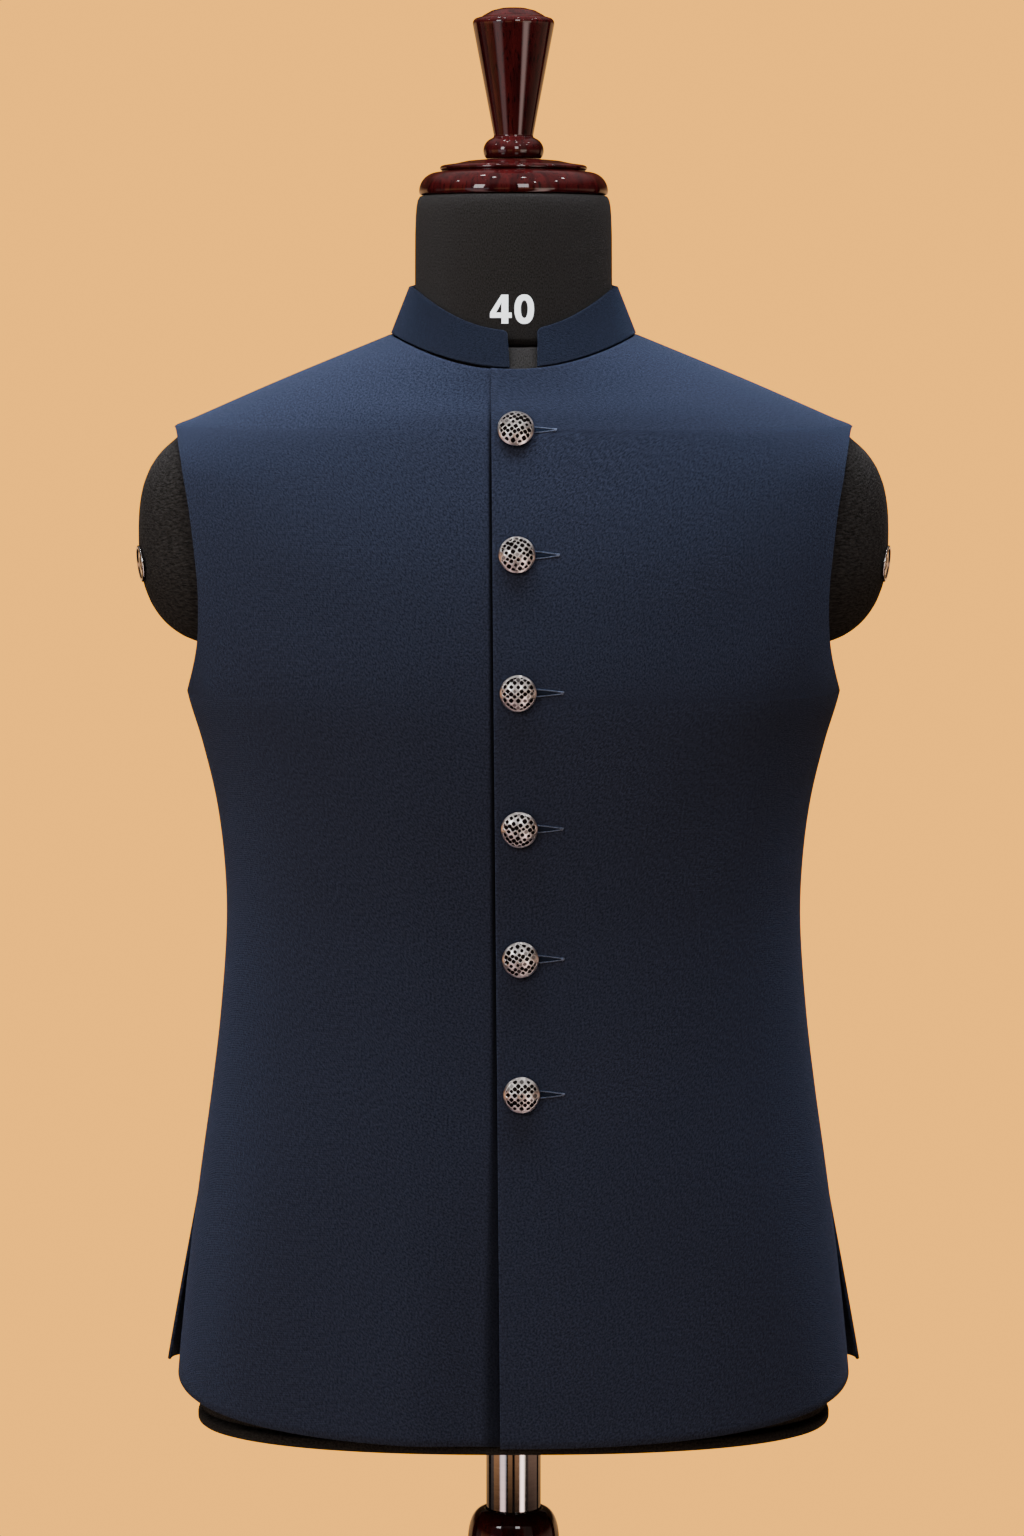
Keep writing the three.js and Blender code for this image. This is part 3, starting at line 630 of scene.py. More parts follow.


# Painted shadow: the right front's colour is darkened in a band beside the lap's edge, as the shade in the fold under
# the left front.
def paint_shadow_beside_lap():
    x, _, z = places_of(front_right).T
    beside = (lap_edge(z) - x) / np.interp(z, LAP_SHADOWS[:, 0], LAP_SHADOWS[:, 1])
    mark(front_right, "painted_shade", (1 - smooth((beside - 0.55) / 0.9)) * np.interp(z, LAP_SHADOWS[:, 0], LAP_SHADOWS[:, 2]))


paint_shadow_beside_lap()

# ---- The back -----------------------------------------------------------------------------------------------------
# One wide piece, a little shorter than the fronts, which stands out past them below the tops of the two side vents.
BACK_HEM, BACK_HEM_RISE = 766, 12
VENT_TOP, VENT_FLARE = 895, 9
BACK_COLUMNS = 170


def back_face(angle, height):
    fall = np.maximum((VENT_TOP - height) / (VENT_TOP - BACK_HEM), 0) ** 1.2
    return face_point(angle, height, VENT_FLARE * fall)


def back():
    level = row_heights(BACK_HEM)
    edge = np.maximum(math.pi - beside_seam(level), SIDE + scye(level, BACK_SCYE))
    angle = lerp(edge, 2 * math.pi - edge, across_share(BACK_COLUMNS))
    height = row_heights(BACK_HEM + BACK_HEM_RISE * (np.abs(angle - math.pi) / SIDE) ** 2)
    normals = normals_of(back_face, angle, height)
    return back_face(angle, height) + normals * drape(angle, height)[..., None], normals


back_piece = belong(cloth_shell("back_cloth", *back(), SUITING), "back")

# ---- The band collar ----------------------------------------------------------------------------------------------
# A stand-up band of two layers, sewn to the neckline and leaning in to the neck. Its two ends stay apart in front,
# and their top corners are round.
COLLAR_CLOTH = 2.7
COLLAR_SEAT = 0.4
COLLAR_ENDS = (15, -2.5)
COLLAR_TOP_ENDS = (15.2, -3.8)
COLLAR_CORNER, COLLAR_DEPTH = 4, 31
COLLAR_TOP_RADIUS, COLLAR_TOP_HALF = 67.6, 67.4
COLLAR_TOP_SIDE, COLLAR_TOP_FRONT_DROP, COLLAR_TOP_BACK_RISE = 1482, 29, 14
COLLAR_COLUMNS, COLLAR_ROWS = 220, 22
COLLAR_PAINTED_SHADE = 0.66  # painted shade: how far the whole collar's colour is darkened toward the shade colour


def collar_face(angle, share):
    across, ahead = np.sin(angle), np.cos(angle)
    top = xyz(
        COLLAR_TOP_HALF * across,
        -COLLAR_TOP_RADIUS * ahead,
        COLLAR_TOP_SIDE + ahead**2 * np.where(ahead > 0, -COLLAR_TOP_FRONT_DROP, COLLAR_TOP_BACK_RISE),
    )
    seam = face_point(angle, NECK)
    seam[..., 2] += COLLAR_SEAT
    return lerp(seam, top, np.asarray(share)[..., None])


def collar():
    even, rise = np.linspace(0, 1, COLLAR_COLUMNS + 1)[None, :], 1 - np.linspace(0, 1, COLLAR_ROWS + 1)[:, None]
    start, end = (
        whole + lerp(angle_at(low, NECK), math.asin(high / COLLAR_TOP_HALF), rise)
        for whole, low, high in zip((0, 2 * math.pi), COLLAR_ENDS, COLLAR_TOP_ENDS)
    )
    angle = lerp(start, end, lerp(even, (1 - np.cos(np.pi * even)) / 2, 0.85))
    from_end = np.minimum(angle - start, end - angle) * COLLAR_TOP_RADIUS
    near = np.clip(1 - from_end / COLLAR_CORNER, 0, 1)
    corner = COLLAR_CORNER * (1 - np.sqrt(1 - near**2)) / COLLAR_DEPTH
    share = rise * (1 - corner)
    points = collar_face(angle, share)
    around = collar_face(angle + 0.01, share) - collar_face(angle - 0.01, share)
    normals = unit(xyz(around[..., 1], -around[..., 0], 0))
    sink = np.where(angle > 1.5 * math.pi, lap_sink(points[..., 0], NECK) * (1 - share), 0)
    return points - normals * sink[..., None], normals


collar_piece = belong(cloth_shell("collar_cloth", *collar(), SUITING, COLLAR_CLOTH), "collar")
mark(collar_piece, "painted_shade", np.full(len(collar_piece.data.vertices), COLLAR_PAINTED_SHADE))

# ---- Buttons ------------------------------------------------------------------------------------------------------
# Six domed metal buttons on shanks. The dome is pressed all over with small square pits set cornerwise, blackened,
# and its high places are polished bright.
BUTTON_HEIGHTS = (1392, 1313, 1227, 1141, 1058, 972)
BUTTON_FROM_EDGE = 15.4
BUTTON_LIFT = 0.3
BUTTON_RADIUS = 11.5
BUTTON_EDGE_HEIGHT, BUTTON_CROWN = 2.9, 5.3  # where the dome starts, and how far it rises over that
PIT_PITCH, PIT_HALF, PIT_DEPTH = 3.05, 1.36, 0.42
BUTTON_SIDES, BUTTON_RINGS = 168, 60
BUTTON_BACK = (
    # radius, height and how blackened: the rim rolls over to the back, which is plain and carries the shank
    (11.46, 2.75, 0),
    (11.5, 2.5, 0),
    (11.4, 2.2, 0),
    (11.1, 2.0, 0.3),
    (9.5, 1.8, 0.9),
    (4.2, 1.5, 1),
    (3.6, 1.2, 1),
    (3.4, 0.6, 1),
    (3.4, 0.0, 1),
)


def place_on(tree, stretch=None):
    """The place on the piece, in metres, taken closer or farther apart along the axes where a stretch is given."""
    place = node(tree, "ShaderNodeTexCoord").outputs["Object"]
    if stretch:
        place = node(tree, "ShaderNodeMapping", {"Vector": place, "Scale": stretch}).outputs["Vector"]
    return place


def button_material():
    material, tree, shader = new_material("antique_silver")
    tarnish = noise(tree, place_on(tree), 260, 4)
    metal = blend_colours(tree, span(tree, tarnish, 0.35, 0.68), (0.80, 0.78, 0.77), (0.62, 0.57, 0.55))
    dark = span(tree, node(tree, "ShaderNodeAttribute", attribute_name="pit").outputs["Fac"], 0.1, 0.45)
    relief = node(tree, "ShaderNodeBump", {"Strength": 0.18, "Distance": 0.1 * MM, "Height": tarnish})
    looks = {
        "Base Color": blend_colours(tree, dark, metal, (0.007, 0.005, 0.005)),
        "Roughness": span(tree, dark, 0, 1, 0.3, 0.6),
        "Metallic": 1.0,
        "Normal": relief.outputs["Normal"],
    }
    feed(tree, shader, looks)
    return material


ANTIQUE_SILVER = button_material()


def pit_depth(x, y, turn, unevenness):
    """How deep in a pit a place on the dome is, from 0 to 1."""
    c, s = math.cos(turn), math.sin(turn)
    across, along = (x * c - y * s) / PIT_PITCH, (x * s + y * c) / PIT_PITCH
    column_at, row_at = np.round(across), np.round(along)
    jitter = np.sin(column_at * 12.99 + row_at * 78.23 + unevenness) * 43758.5
    size = PIT_HALF * lerp(0.8, 1.12, jitter - np.floor(jitter))
    wander = np.sin(column_at * 39.3 + row_at * 11.1 + unevenness) * 0.13
    off_x, off_y = np.abs(across - column_at - wander) * PIT_PITCH, np.abs(along - row_at + wander) * PIT_PITCH
    inside = 1 - (off_x**3 + off_y**3) ** (1 / 3) / size
    rim = smooth((BUTTON_RADIUS - 0.9 - np.hypot(x, y)) / 0.8)
    struck = np.sin(column_at * 71.7 + row_at * 27.9 + unevenness) * 9631.3
    return smooth(inside / 0.22) * rim * lerp(0.3, 1, np.minimum(2.5 * (struck - np.floor(struck)), 1))


def frame_at(angle, height):
    """A place on the cloth and the directions along it, up it and out of it."""
    place = face_point(angle, height)
    out = normals_of(face_point, angle, height)
    place = place + out * drape(angle, height) * float(smooth(abs(place[0]) / FLAT_BY_LAP))
    side = unit(np.cross([0, 0, 1], out))
    return place, side, np.cross(out, side), out


def button_angle(height):
    return float(angle_at(lap_edge(height) + BUTTON_FROM_EDGE, height))


def closed_loft(rings, ends=None):
    """Points and faces of a closed body through rings of the same number of points, and one point at each end."""
    rings = np.array(rings)
    count, sides = rings.shape[:2]
    index = np.arange(count * sides).reshape(count, sides)
    a, b = index[:-1], index[1:]
    faces = np.stack([a, np.roll(a, -1, axis=1), np.roll(b, -1, axis=1), b], axis=-1).reshape(-1, 4).tolist()
    points = np.concatenate([rings.reshape(-1, 3), ends or [rings[0].mean(axis=0), rings[-1].mean(axis=0)]])
    low, high = count * sides, count * sides + 1
    for i in range(sides):
        j = (i + 1) % sides
        faces += [[low, int(index[0, j]), int(index[0, i])], [high, int(index[-1, i]), int(index[-1, j])]]
    return points, faces


def turns(count):
    return np.linspace(0, 2 * math.pi, count, endpoint=False)


def button(number, height):
    turn = turns(BUTTON_SIDES)[None, :]
    radius = (BUTTON_RADIUS - 0.15) * np.sin(np.linspace(0, 1, BUTTON_RINGS + 1)[:, None] * math.pi / 2)
    dome = BUTTON_EDGE_HEIGHT + BUTTON_CROWN * (1 - (radius / BUTTON_RADIUS) ** 2.1)
    x, y = radius * np.cos(turn), radius * np.sin(turn)
    pits = pit_depth(x, y, math.pi / 4 + 0.23 * math.sin(number * 2.1), number * 7.3)
    back_radius, back_height, blackened = (np.array(values)[:, None] for values in zip(*BUTTON_BACK))
    x, y = (np.concatenate([a, back_radius * b]) for a, b in ((x, np.cos(turn)), (y, np.sin(turn))))
    z = np.concatenate([dome - PIT_DEPTH * pits, back_height + 0 * turn])
    pits = np.concatenate([pits, blackened + 0 * turn])
    place, side, up, out = frame_at(button_angle(height), height)
    foot = place + out * BUTTON_LIFT
    points = foot + x[..., None] * side + y[..., None] * up + z[..., None] * out
    # The rings run from the back to the crown, where the innermost closes on one point.
    made = add_object(f"button_{number}_dome", *closed_loft(points[:0:-1], [foot, points[0, 0]]), [ANTIQUE_SILVER])
    mark(made, "pit", [*pits[:0:-1].ravel(), 1, pits[0, 0]])
    belong(made, f"button_{number}")


for number, height in enumerate(BUTTON_HEIGHTS, 1):
    button(number, height)

# ---- Buttonholes --------------------------------------------------------------------------------------------------
# Hand-worked, each from under its button towards the wearer's left: a slit between two corded edges bound with
# closely set stitches of navy buttonhole twist, drawn together at a small bar.
HOLE_LENGTHS = (24.5, 25.5, 27.5, 26.5, 26.5, 26)  # from the button's middle to the bar
HOLE_CLOSED, HOLE_OPENS = 0.55, 1.75  # from the slit's middle to each edge at the bar, and how much more at the button
HOLE_START, HOLE_NARROWS = 6.0, 8
STITCH_PITCH, STITCH_LENGTH, STITCH_THICK = 0.52, 0.95, 0.3
BAR_STITCHES = 5
STITCH_LIFT, BAR_LIFT, SLIT_LIFT, SLIT_THICK = 0.18, 0.3, 0.06, 0.12
SLIT_STEPS, SLIT_SHADOW_PAST_EDGE, SLIT_TO_BAR = 24, 0.75, 0.6
STITCH_SIDES, STITCH_RINGS = 6, 5


def thread_material():
    material, tree, shader = new_material("buttonhole_twist")
    strand = noise(tree, place_on(tree), 900, 3)
    colour = blend_colours(tree, span(tree, strand, 0.3, 0.7), (0.010, 0.012, 0.020), (0.060, 0.069, 0.104))
    feed(tree, shader, {"Base Color": colour, "Roughness": span(tree, strand, 0.3, 0.7, 0.42, 0.6)})
    return material


# Painted shade: a near-black cloth for the sheet that stands for the shade in the slit and under its edges.
def slit_shadow_material():
    material, tree, shader = new_material("slit_shadow")
    fray = noise(tree, place_on(tree), 1200)
    colour = blend_colours(tree, fray, (0.002, 0.003, 0.006), (0.008, 0.011, 0.02))
    feed(tree, shader, {"Base Color": colour, "Roughness": 0.95, "Specular IOR Level": 0.1})
    return material


TWIST, SLIT = thread_material(), slit_shadow_material()


def stitch(centre, direction, out, length, thick):
    """One satin stitch: a short round-ended bead of thread lying on the cloth."""
    aside = unit(np.cross(direction, out))
    turn = turns(STITCH_SIDES)[:, None]
    rings = []
    for k in range(STITCH_RINGS):
        swing = math.pi * (k + 0.5) / STITCH_RINGS - math.pi / 2
        reach, radius = length / 2 * math.sin(swing), thick * math.cos(swing)
        rings.append(centre + direction * reach + radius * (np.cos(turn) * aside + np.sin(turn) * out))
    return closed_loft(rings, [centre - direction * length / 2, centre + direction * length / 2])


def buttonhole(number, height, length):
    start = face_point(button_angle(height), height)[0]

    def on_cloth(along, up, lift):
        level = height + up
        place, side, rise, out = frame_at(float(angle_at(start + along, level)), level)
        return place + out * lift, side, rise, out

    def edge_at(along):
        return HOLE_OPENS * (1 - smooth((along - HOLE_NARROWS) / (length - HOLE_NARROWS))) ** 0.6 + HOLE_CLOSED

    points, faces, kinds = [], [], []

    def join(some_points, some_faces, kind):
        base = sum(len(p) for p in points)
        points.append(some_points)
        faces.extend([[v + base for v in face] for face in some_faces])
        kinds.extend([kind] * len(some_faces))

    for along in np.arange(HOLE_START, length, STITCH_PITCH):
        for upper in (1, -1):
            centre, side, rise, out = on_cloth(along, upper * edge_at(along), STITCH_LIFT)
            lean = unit(rise * upper + side * 0.25)
            join(*stitch(centre, lean, out, STITCH_LENGTH, STITCH_THICK), 0)
    for k in range(BAR_STITCHES):
        centre, side, rise, out = on_cloth(length + 0.35 * (k - 1.5), 0, BAR_LIFT)
        join(*stitch(centre, unit(rise + side * 0.2 * (k - 2)), out, 2.6 - 0.2 * abs(k - 2), 0.34), 0)
    # Painted shadow: the open slit is a thin dark lens between the two edges, reaching a little past them as the shade
    # under the corded edges.
    strip = []
    for along in np.linspace(HOLE_START, length - SLIT_TO_BAR, SLIT_STEPS):
        half = edge_at(along) + SLIT_SHADOW_PAST_EDGE
        strip += [on_cloth(along, up, SLIT_LIFT)[0] for up in (half, 0, -half)]
    top = len(strip)
    strip += [p - SLIT_THICK * frame_at(button_angle(height), height)[3] for p in strip]
    lens = []
    for k in range(SLIT_STEPS - 1):
        a = 3 * k
        for lane in (0, 1):
            q = [a + lane, a + lane + 1, a + lane + 4, a + lane + 3]
            lens += [q, [v + top for v in reversed(q)]]
        lens += [[a, a + 3, a + 3 + top, a + top], [a + 5, a + 2, a + 2 + top, a + 5 + top]]
    end = 3 * (SLIT_STEPS - 1)
    for a, b in ((0, 1), (1, 2)):
        lens += [[b, a, a + top, b + top], [end + a, end + b, end + b + top, end + a + top]]
    join(np.array(strip), lens, 1)
    made = add_object(f"buttonhole_{number}", np.concatenate(points), faces, [TWIST, SLIT], face_materials=kinds)
    belong(made)


for number, (height, length) in enumerate(zip(BUTTON_HEIGHTS, HOLE_LENGTHS), 1):
    buttonhole(number, height, length)

# ---- The dress form -----------------------------------------------------------------------------------------------
# A foam body with two short arm stubs, covered in black jersey drawn tight. The neck is a piece of its own, seamed
# on where the jersey meets, and a board covered in the same jersey closes the form below.
EASE = np.array(
    [
        # height, at the side, in front, behind: how far the form lies inside the cloth's outer face
        (1451, 3.8, 7, 4.5),
        (1422, 3.9, 6.5, 4.5),
        (1391.5, 4.6, 6.5, 4.5),
        (1365, 22, 6.5, 4.5),
        (1320, 33, 6.5, 5),
        (1260, 31, 6.5, 6),
        (1220, 27, 6.5, 7),
        (1150, 13, 7, 8),
        (1069, 11, 7, 9),
        (910, 12, 8, 9),
        (747, 15, 13, 12),
    ]
)
EASE_SIDE, EASE_FRONT, EASE_BACK = 1, 2, 3
TORSO_FOOT = 748
NECK_SEAM_RADIUS, NECK_SEAM_HEIGHT, NECK_SEAM_SLOPE = 65.2, 1453, 10 / 65
STUB_X, STUB_HEIGHT, STUB_REACH, STUB_RISE, STUB_FALL, STUB_DEPTH, STUB_ROUND = 175, 1322, 68.5, 71, 74, 44.5, 2.6
FORM_SIDES, STUB_SIDES, STUB_RINGS = 128, 72, 40
COVER_GRID = 4.2  # mesh of the cover after the stubs are joined to the body

JERSEY_DARK = (0.0026, 0.0022, 0.0020)
JERSEY_LIGHT = (0.0204, 0.0176, 0.0158)
JERSEY = cloth_material("black_jersey", JERSEY_DARK, JERSEY_LIGHT, (0.5, 0.42, 0.38), 0.04, 1.1, 0.8)


def form_point(angle, height):
    across, ahead = np.sin(angle) ** 2, np.cos(angle)
    facing = np.where(ahead > 0, column(EASE, EASE_FRONT, height), column(EASE, EASE_BACK, height))
    ease = lerp(facing, column(EASE, EASE_SIDE, height), across)
    return face_point(angle, height) - normals_of(face_point, angle, height) * ease[..., None]


def neck_seam(angle, radius, lift=0.0):
    y = -radius * np.cos(angle)
    return xyz(radius * np.sin(angle), y, NECK_SEAM_HEIGHT + NECK_SEAM_SLOPE * y + lift)


def wrap_map(made):
    """The threads map of a body without one, wrapped round its upright axis."""
    x, y, z = places_of(made).T
    threads = np.stack([np.arctan2(x, -y) * MM_PER_RADIAN, z], axis=-1)[corners_of(made.data)]
    layer = made.data.uv_layers.get("threads") or made.data.uv_layers.new(name="threads")
    layer.data.foreach_set("uv", threads.ravel().astype(np.float32))


def apply_modifiers(made):
    seen = made.evaluated_get(bpy.context.evaluated_depsgraph_get())
    mesh = bpy.data.meshes.new_from_object(seen)
    made.modifiers.clear()
    made.data = mesh


around_form = turns(FORM_SIDES)
RING_RADIUS, SEAT_MARGIN, SEAT_REACH = 12, 1.6, 12
RING_SEAT = (240.4, -13, 1303)
RING_FORWARD, RING_DOWN = math.radians(12), math.radians(7)


def ring_seat(side):
    """The middle of the shallow seat that an arm's metal ring is let into, and the directions across and out of it."""
    out = unit(np.array([side * math.cos(RING_FORWARD), -math.sin(RING_FORWARD), -math.tan(RING_DOWN)]))
    aside = unit(np.cross([0, 0, 1], out))
    return np.array(RING_SEAT) * [side, 1, 1], aside, np.cross(out, aside), out


def let_in_seats(made):
    places = places_of(made)
    for side in (1, -1):
        seat, _, _, out = ring_seat(side)
        lift = (places - seat) @ out
        far = np.linalg.norm(places - seat - lift[:, None] * out, axis=1)
        inside = (far < RING_RADIUS + SEAT_MARGIN) & (lift > 0) & (lift < SEAT_REACH)
        places[inside] -= lift[inside, None] * out
    made.data.vertices.foreach_set("co", (places * MM).ravel().astype(np.float32))
    made.data.update()


def squared(v):
    return np.sign(v) * np.abs(v) ** (2 / STUB_ROUND)


def stub_ring(side, swing):
    turn = turns(STUB_SIDES)
    lift = squared(math.cos(swing)) * squared(np.sin(turn))
    return xyz(
        side * (STUB_X + STUB_REACH * squared(math.sin(swing))),
        STUB_DEPTH * squared(math.cos(swing)) * squared(np.cos(turn)),
        STUB_HEIGHT + lift * np.where(lift > 0, STUB_RISE, STUB_FALL),
    )


def torso():
    rows = [
        *np.linspace(NECK, SHOULDER, 14),
        *np.linspace(SHOULDER, UNDERARM, 30)[1:],
        *np.linspace(UNDERARM, TORSO_FOOT, 64)[1:],
    ]
    rings = [neck_seam(around_form, NECK_SEAM_RADIUS - 1), neck_seam(around_form, NECK_SEAM_RADIUS, -1)]
    rings += [form_point(around_form, height) for height in rows]
    rings[-1][:, 2] = TORSO_FOOT
    made = add_object("form_torso_cover", *closed_loft(rings[::-1]), [JERSEY])
    joined = [made]
    for side in (1, -1):
        rings = [stub_ring(side, swing) for swing in np.linspace(-SIDE + 0.05, SIDE - 0.05, STUB_RINGS)]
        joined.append(add_object("stub", *closed_loft(rings[::side]), [JERSEY]))
    chosen = {"selected_objects": joined, "selected_editable_objects": joined}
    with bpy.context.temp_override(active_object=made, object=made, **chosen):
        bpy.ops.object.join()
    remesh = made.modifiers.new("cover", "REMESH")
    remesh.mode = "VOXEL"
    remesh.voxel_size = COVER_GRID * MM
    relax = made.modifiers.new("tight", "SMOOTH")
    relax.factor, relax.iterations = 0.5, 5
    apply_modifiers(made)
    let_in_seats(made)
    made.data.polygons.foreach_set("use_smooth", [True] * len(made.data.polygons))
    wrap_map(made)
    belong(made, "form_torso")


torso()

# The neck is a firm cylinder, a little wider at its foot, with the jersey turned in over its top edge.
NECK_PROFILE = ((63.7, 1500), (63.6, 1515), (63.2, 1527), (62.7, 1533), (61.9, 1537), (60.6, 1539.3), (59.2, 1539.8))
NECK_FOOT_RADIUS = 63.9
SEAM_GAP = 0.3


def level_ring(radius, height, turn=around_form):
    return xyz(radius * np.sin(turn), -radius * np.cos(turn), height)


foot_ring = neck_seam(around_form, NECK_FOOT_RADIUS, SEAM_GAP)
first_level = level_ring(*NECK_PROFILE[0])
neck_rings = [neck_seam(around_form, NECK_FOOT_RADIUS - 1, SEAM_GAP)]
neck_rings += [lerp(foot_ring, first_level, t) for t in np.linspace(0, 1, 12)[:-1]]
neck_rings += [level_ring(radius, height) for radius, height in NECK_PROFILE]
neck_piece = add_object("form_neck_cover", *closed_loft(neck_rings), [JERSEY])
wrap_map(neck_piece)
belong(neck_piece, "form_neck")

# The bottom board: its covered edge is rounded below.
BOARD_TOP, BOARD_FOOT = TORSO_FOOT - SEAM_GAP, 740
BOARD_EDGE = ((0.985, 0.0), (0.996, 0.05), (1.0, 0.16), (1.0, 0.6), (0.997, 0.78), (0.99, 0.92), (0.98, 1.0))
board_outline = form_point(around_form, TORSO_FOOT)
board_rings = []
for width, down in reversed(BOARD_EDGE):
    ring = board_outline * [width, width, 0]
    ring[:, 2] = lerp(BOARD_TOP, BOARD_FOOT, down)
    board_rings.append(ring)
board_piece = add_object("form_board_cover", *closed_loft(board_rings), [JERSEY])
wrap_map(board_piece)
belong(board_piece, "form_board")

# The jersey's own seam runs down the middle of the front and the back, from the neck to the board: two pressed
# edges with the thread drawn in between them.
SEAM_WIDTH, SEAM_LIFT, SEAM_RINGS, SEAM_SIDES = 1.1, 0.35, 160, 8


def form_seam(name, angle):
    heights = np.linspace(NECK - 4, TORSO_FOOT + 6, SEAM_RINGS)
    turn, aside = turns(SEAM_SIDES)[:, None], np.array([math.cos(angle), 0, 0])
    rings = [
        centre + SEAM_WIDTH / 2 * np.cos(turn) * aside + SEAM_LIFT * np.sin(turn) * out
        for centre, out in zip(form_point(angle, heights), normals_of(face_point, angle, heights))
    ]
    made = add_object(name, *closed_loft(rings), [JERSEY])
    wrap_map(made)
    belong(made)


form_seam("form_seam_front", 0.0)
form_seam("form_seam_back", math.pi)

# The size is printed in white on the front of the neck, in plain heavy numerals.
NUMERAL_HEIGHT, NUMERAL_FOOT = 18.2, 1457.4
FOUR_LEFT, FOUR_WIDTH = -15.0, 13.8
ZERO_LEFT, ZERO_WIDTH = 0.6, 12.4
PRINT_THICK = 0.12
COUNTER_WIDTH, COUNTER_HEIGHT = 0.37, 0.62  # the hole of the 0, as shares of its width and height


def print_material():
    material, tree, shader = new_material("white_print")
    wear = noise(tree, place_on(tree), 1400, 3)
    colour = blend_colours(tree, span(tree, wear, 0.2, 0.5), (0.90, 0.90, 0.89), (0.97, 0.97, 0.96))
    feed(tree, shader, {"Base Color": colour, "Roughness": 0.7})
    return material


PRINT = print_material()


def numeral(name, outline, counter):
    """A numeral as a thin print on the neck, cut into narrow strips so that it follows the round."""
    loops = [[(*place, 0) for place in loop] for loop in (outline, counter)]
    mesh = bpy.data.meshes.new(name)
    mesh.from_pydata(loops[0] + loops[1], [], [list(triangle) for triangle in tessellate_polygon(loops)])
    work = bmesh.new()
    work.from_mesh(mesh)
    low, high = min(x for x, _ in outline), max(x for x, _ in outline)
    for x in np.arange(low + 1.0, high, 1.0):
        geometry = work.verts[:] + work.edges[:] + work.faces[:]
        bmesh.ops.bisect_plane(work, geom=geometry, plane_co=(x, 0, 0), plane_no=(1, 0, 0))
    sheet = bmesh.ops.extrude_face_region(work, geom=work.faces[:])
    for vertex in [v for v in sheet["geom"] if isinstance(v, bmesh.types.BMVert)]:
        vertex.co.z += PRINT_THICK
    for vertex in work.verts:
        x, up, lift = vertex.co
        radius = NECK_FOOT_RADIUS + 0.02 + lift
        turn = x / NECK_FOOT_RADIUS
        vertex.co = (radius * math.sin(turn) * MM, -radius * math.cos(turn) * MM, (NUMERAL_FOOT + up) * MM)
    bmesh.ops.recalc_face_normals(work, faces=work.faces[:])
    work.to_mesh(mesh)
    work.free()
    mesh.materials.append(PRINT)
    belong(put_in(name, mesh))


def egg(centre, width, height, squareness):
    turn = turns(48)
    x = np.sign(np.cos(turn)) * np.abs(np.cos(turn)) ** squareness * width / 2
    y = np.sign(np.sin(turn)) * np.abs(np.sin(turn)) ** squareness * height / 2
    return [(centre + a, NUMERAL_HEIGHT / 2 + b) for a, b in zip(x, y)]


zero_middle = ZERO_LEFT + ZERO_WIDTH / 2
numeral(
    "numeral_0",
    egg(zero_middle, ZERO_WIDTH, NUMERAL_HEIGHT * 1.02, 0.88),
    egg(zero_middle, ZERO_WIDTH * COUNTER_WIDTH, NUMERAL_HEIGHT * COUNTER_HEIGHT, 0.92),
)
FOUR_SHAPE = (  # shares of the width and the height: round the outside, then round the counter
    (
        *((0.84, 0), (0.84, 0.2), (1, 0.2), (1, 0.38), (0.84, 0.38), (0.84, 1)),
        *((0.53, 1), (0, 0.38), (0, 0.2), (0.53, 0.2), (0.53, 0)),
    ),
    ((0.27, 0.38), (0.53, 0.38), (0.53, 0.73)),
)
numeral("numeral_4", *[[(FOUR_LEFT + x * FOUR_WIDTH, y * NUMERAL_HEIGHT) for x, y in loop] for loop in FOUR_SHAPE])


# ---- Metal: the rings in the arm stubs and the pole ---------------------------------------------------------------
# Chrome-plated steel, turned and polished, with the faintest swirl left by the buffing wheel. The body slides on the
# pole; each ring takes the pin of an arm, when a form has arms.
def chrome_material():
    material, tree, shader = new_material("chrome")
    swirl = noise(tree, place_on(tree, (60, 60, 900)), 1, 4)
    looks = {
        "Base Color": blend_colours(tree, swirl, (0.58, 0.57, 0.56), (0.70, 0.69, 0.68)),
        "Roughness": span(tree, swirl, 0.3, 0.7, 0.05, 0.11),
        "Metallic": 1.0,
    }
    feed(tree, shader, looks)
    return material


CHROME = chrome_material()
FILLET_STEPS = 4


def eased(profile, fillet):
    """The profile with each corner between straight stretches taken round by a small curve."""
    points = [np.array(p, float) for p in profile]
    result = [points[0]]
    for before, corner, after in zip(points, points[1:], points[2:]):
        back, ahead = before - corner, after - corner
        reach = min(fillet, np.linalg.norm(back) * 0.45, np.linalg.norm(ahead) * 0.45)
        first, last = corner + unit(back) * reach, corner + unit(ahead) * reach
        for t in np.linspace(0, 1, FILLET_STEPS + 1):
            result.append((1 - t) ** 2 * first + 2 * t * (1 - t) * corner + t * t * last)
    return result + [points[-1]]


def turned(name, profile, material, sides, fillet, stands_for, slot):
    """A turned piece, from pairs of radius and height that run from the axis at its foot to the axis at its top."""
    outline = eased(profile, fillet)[1:-1]
    rings = [level_ring(radius, height, turns(sides)) for radius, height in outline]
    return belong(add_object(name, *closed_loft(rings), [material]), stands_for)


POLE_RADIUS, POLE_FOOT, POLE_TOP = 18, 600, 849
POLE_PROFILE = ((0, POLE_FOOT), (POLE_RADIUS, POLE_FOOT), (POLE_RADIUS, POLE_TOP), (0, POLE_TOP))
turned("pole_tube", POLE_PROFILE, CHROME, 128, 0.6, "pole", "chrome")

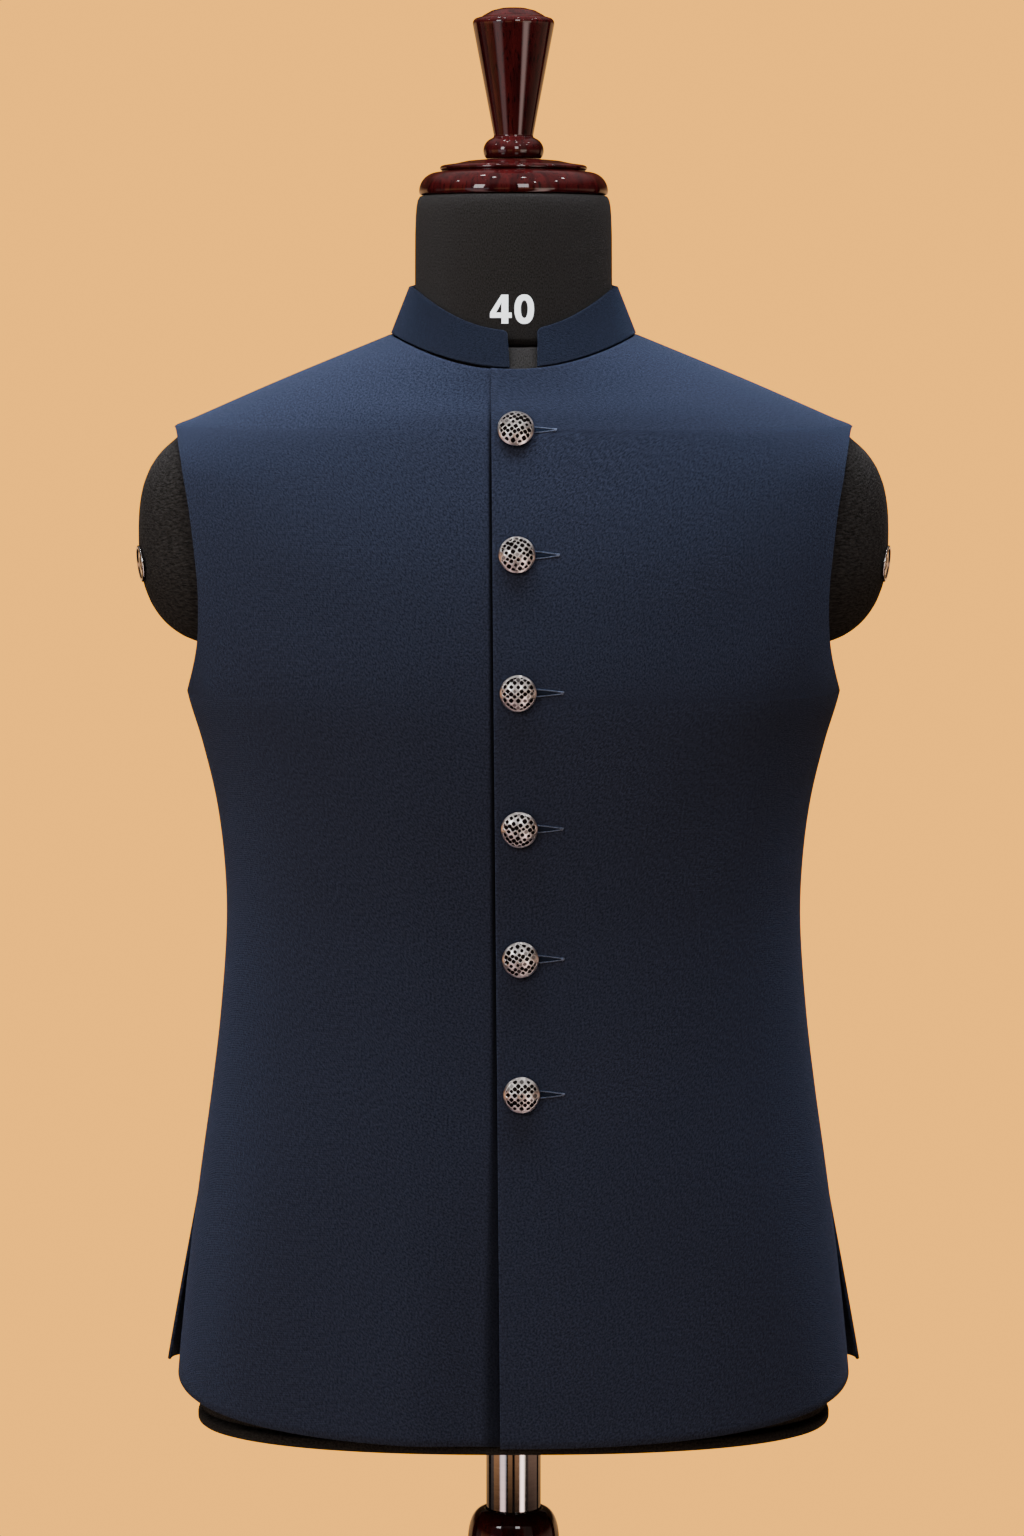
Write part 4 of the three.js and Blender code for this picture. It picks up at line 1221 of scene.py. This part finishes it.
RING_PROFILE = (
    (0, 0.3),
    (11.2, 0.3),
    (RING_RADIUS, 0.9),
    (RING_RADIUS, 1.5),
    (11.1, 2.05),
    (9.7, 1.85),
    (9, 1.1),
    (4.2, 1.0),
    (3.6, 0.5),
    (0, 0.45),
)
for name, side in (("arm_ring_left", 1), ("arm_ring_right", -1)):
    ring = turned(name + "_plate", RING_PROFILE, CHROME, 72, 0.35, name, "chrome")
    seat, aside, up, out = ring_seat(side)
    for vertex in ring.data.vertices:
        x, y, lift = np.array(vertex.co) / MM
        vertex.co = (seat + x * aside + y * up + lift * out) * MM


# ---- Turned mahogany: the neck cap, the finial, the column and the foot -------------------------------------------
# Dark red-brown wood turned between centres, so its grain runs up the axis, under several coats of clear gloss
# lacquer.
def mahogany_material():
    material, tree, shader = new_material("mahogany")
    along = place_on(tree, (90, 90, 7))
    figure = noise(tree, along, 1.6, 6, {"Distortion": 0.6})
    pores = noise(tree, along, 9, 3)
    wood = blend_colours(tree, span(tree, figure, 0.32, 0.68), (0.0090, 0.0011, 0.0012), (0.026, 0.0024, 0.0023))
    relief = node(tree, "ShaderNodeBump", {"Strength": 0.05, "Distance": 0.2 * MM, "Height": figure})
    looks = {
        "Base Color": blend_colours(tree, span(tree, pores, 0.56, 0.66), wood, (0.004, 0.0008, 0.0009)),
        "Roughness": span(tree, pores, 0.3, 0.7, 0.28, 0.4),
        "Coat Weight": 0.85,
        "Coat Roughness": 0.05,
        "Coat IOR": 1.5,
        "Specular IOR Level": 0.0,
        "Normal": relief.outputs["Normal"],
    }
    feed(tree, shader, looks)
    return material


MAHOGANY = mahogany_material()


def arc(middle_radius, height, reach, rise, first, last, count):
    """Part of a bead, between two angles in degrees above the level."""
    turn = np.radians(np.linspace(first, last, count))
    return [(middle_radius + reach * math.cos(t), height + rise * math.sin(t)) for t in turn]


CAP_FOOT = 1540.1
CAP_PROFILE = (
    (0, CAP_FOOT),
    (59.4, CAP_FOOT),
    (60.7, 1540.7),
    *arc(48.5, 1542.6, 12.6, 12.4, 0, 80, 12),
    (48.4, 1555.1),
    (46.8, 1555.5),
    *arc(44.7, 1557.5, 2.9, 2.0, -60, 72, 8),
    (38, 1560.5),
    (30, 1562.2),
    (18, 1563.3),
    (0, 1563.4),
)
turned("neck_cap_turning", CAP_PROFILE, MAHOGANY, 144, 0.8, "neck_cap", "mahogany")

FINIAL_PROFILE = (
    (0, 1563.7),
    (17.4, 1563.7),
    (17.9, 1564.1),
    *arc(11.1, 1568.8, 8.4, 8.5, -30, 70, 14),
    (12.9, 1577.5),
    (12.7, 1578.5),
    (26.0, 1648.2),
    *arc(22.6, 1650.2, 3.7, 3.6, -10, 80, 7),
    (20.4, 1654.6),
    (19.4, 1655.4),
    (14, 1658.4),
    (7.5, 1660),
    (0, 1660.5),
)
turned("finial_turning", FINIAL_PROFILE, MAHOGANY, 128, 0.7, "finial", "mahogany")

COLUMN_SOCKET = POLE_RADIUS + 0.4
KNOB_CORE, KNOB_REACH, KNOB_HEIGHT, KNOB_RISE, KNOB_SQUARE = 17, 13.3, 652, 27, 2.6


def knob(first, last, count):
    turn = np.radians(np.linspace(first, last, count))
    power = 2 / KNOB_SQUARE
    out = np.cos(turn) ** power
    up = np.sign(turn) * np.abs(np.sin(turn)) ** power
    return list(zip(KNOB_CORE + KNOB_REACH * out, KNOB_HEIGHT + KNOB_RISE * up))


COLUMN_PROFILE = (
    (0, 42.3),
    (40, 42.3),
    *arc(34, 49.5, 6, 6.5, -70, 60, 8),
    (33.5, 58),
    (33, 64),
    (28, 74),
    (26, 90),
    (28.8, 135),
    (31, 180),
    (32.6, 225),
    (33, 260),
    (32.2, 320),
    (30, 380),
    (26.5, 480),
    (23.5, 560),
    (22.5, 600),
    *arc(22.6, 609, 4, 3.2, -60, 60, 7),
    (22, 618),
    (20.5, 626),
    *knob(-70, 72, 22),
    (COLUMN_SOCKET + 1.2, 679),
    (COLUMN_SOCKET, 678.2),
    (COLUMN_SOCKET, 599.7),
    (0, 599.7),
)
turned("stand_column_turning", COLUMN_PROFILE, MAHOGANY, 120, 1.2, "stand_column", "mahogany")

FOOT_PROFILE = (
    (0, 0),
    (186, 0),
    (190, 3.5),
    (190, 15.5),
    *arc(183, 17, 7, 6.5, 0, 85, 7),
    (180, 23.8),
    (179, 25.8),
    (172, 26.4),
    (130, 28.4),
    (80, 31),
    (69, 33.6),
    (65.5, 36.5),
    *arc(56, 37.5, 6.5, 4.5, 0, 88, 6),
    (0, 42),
)
turned("stand_foot_turning", FOOT_PROFILE, MAHOGANY, 200, 1.2, "stand_foot", "mahogany")
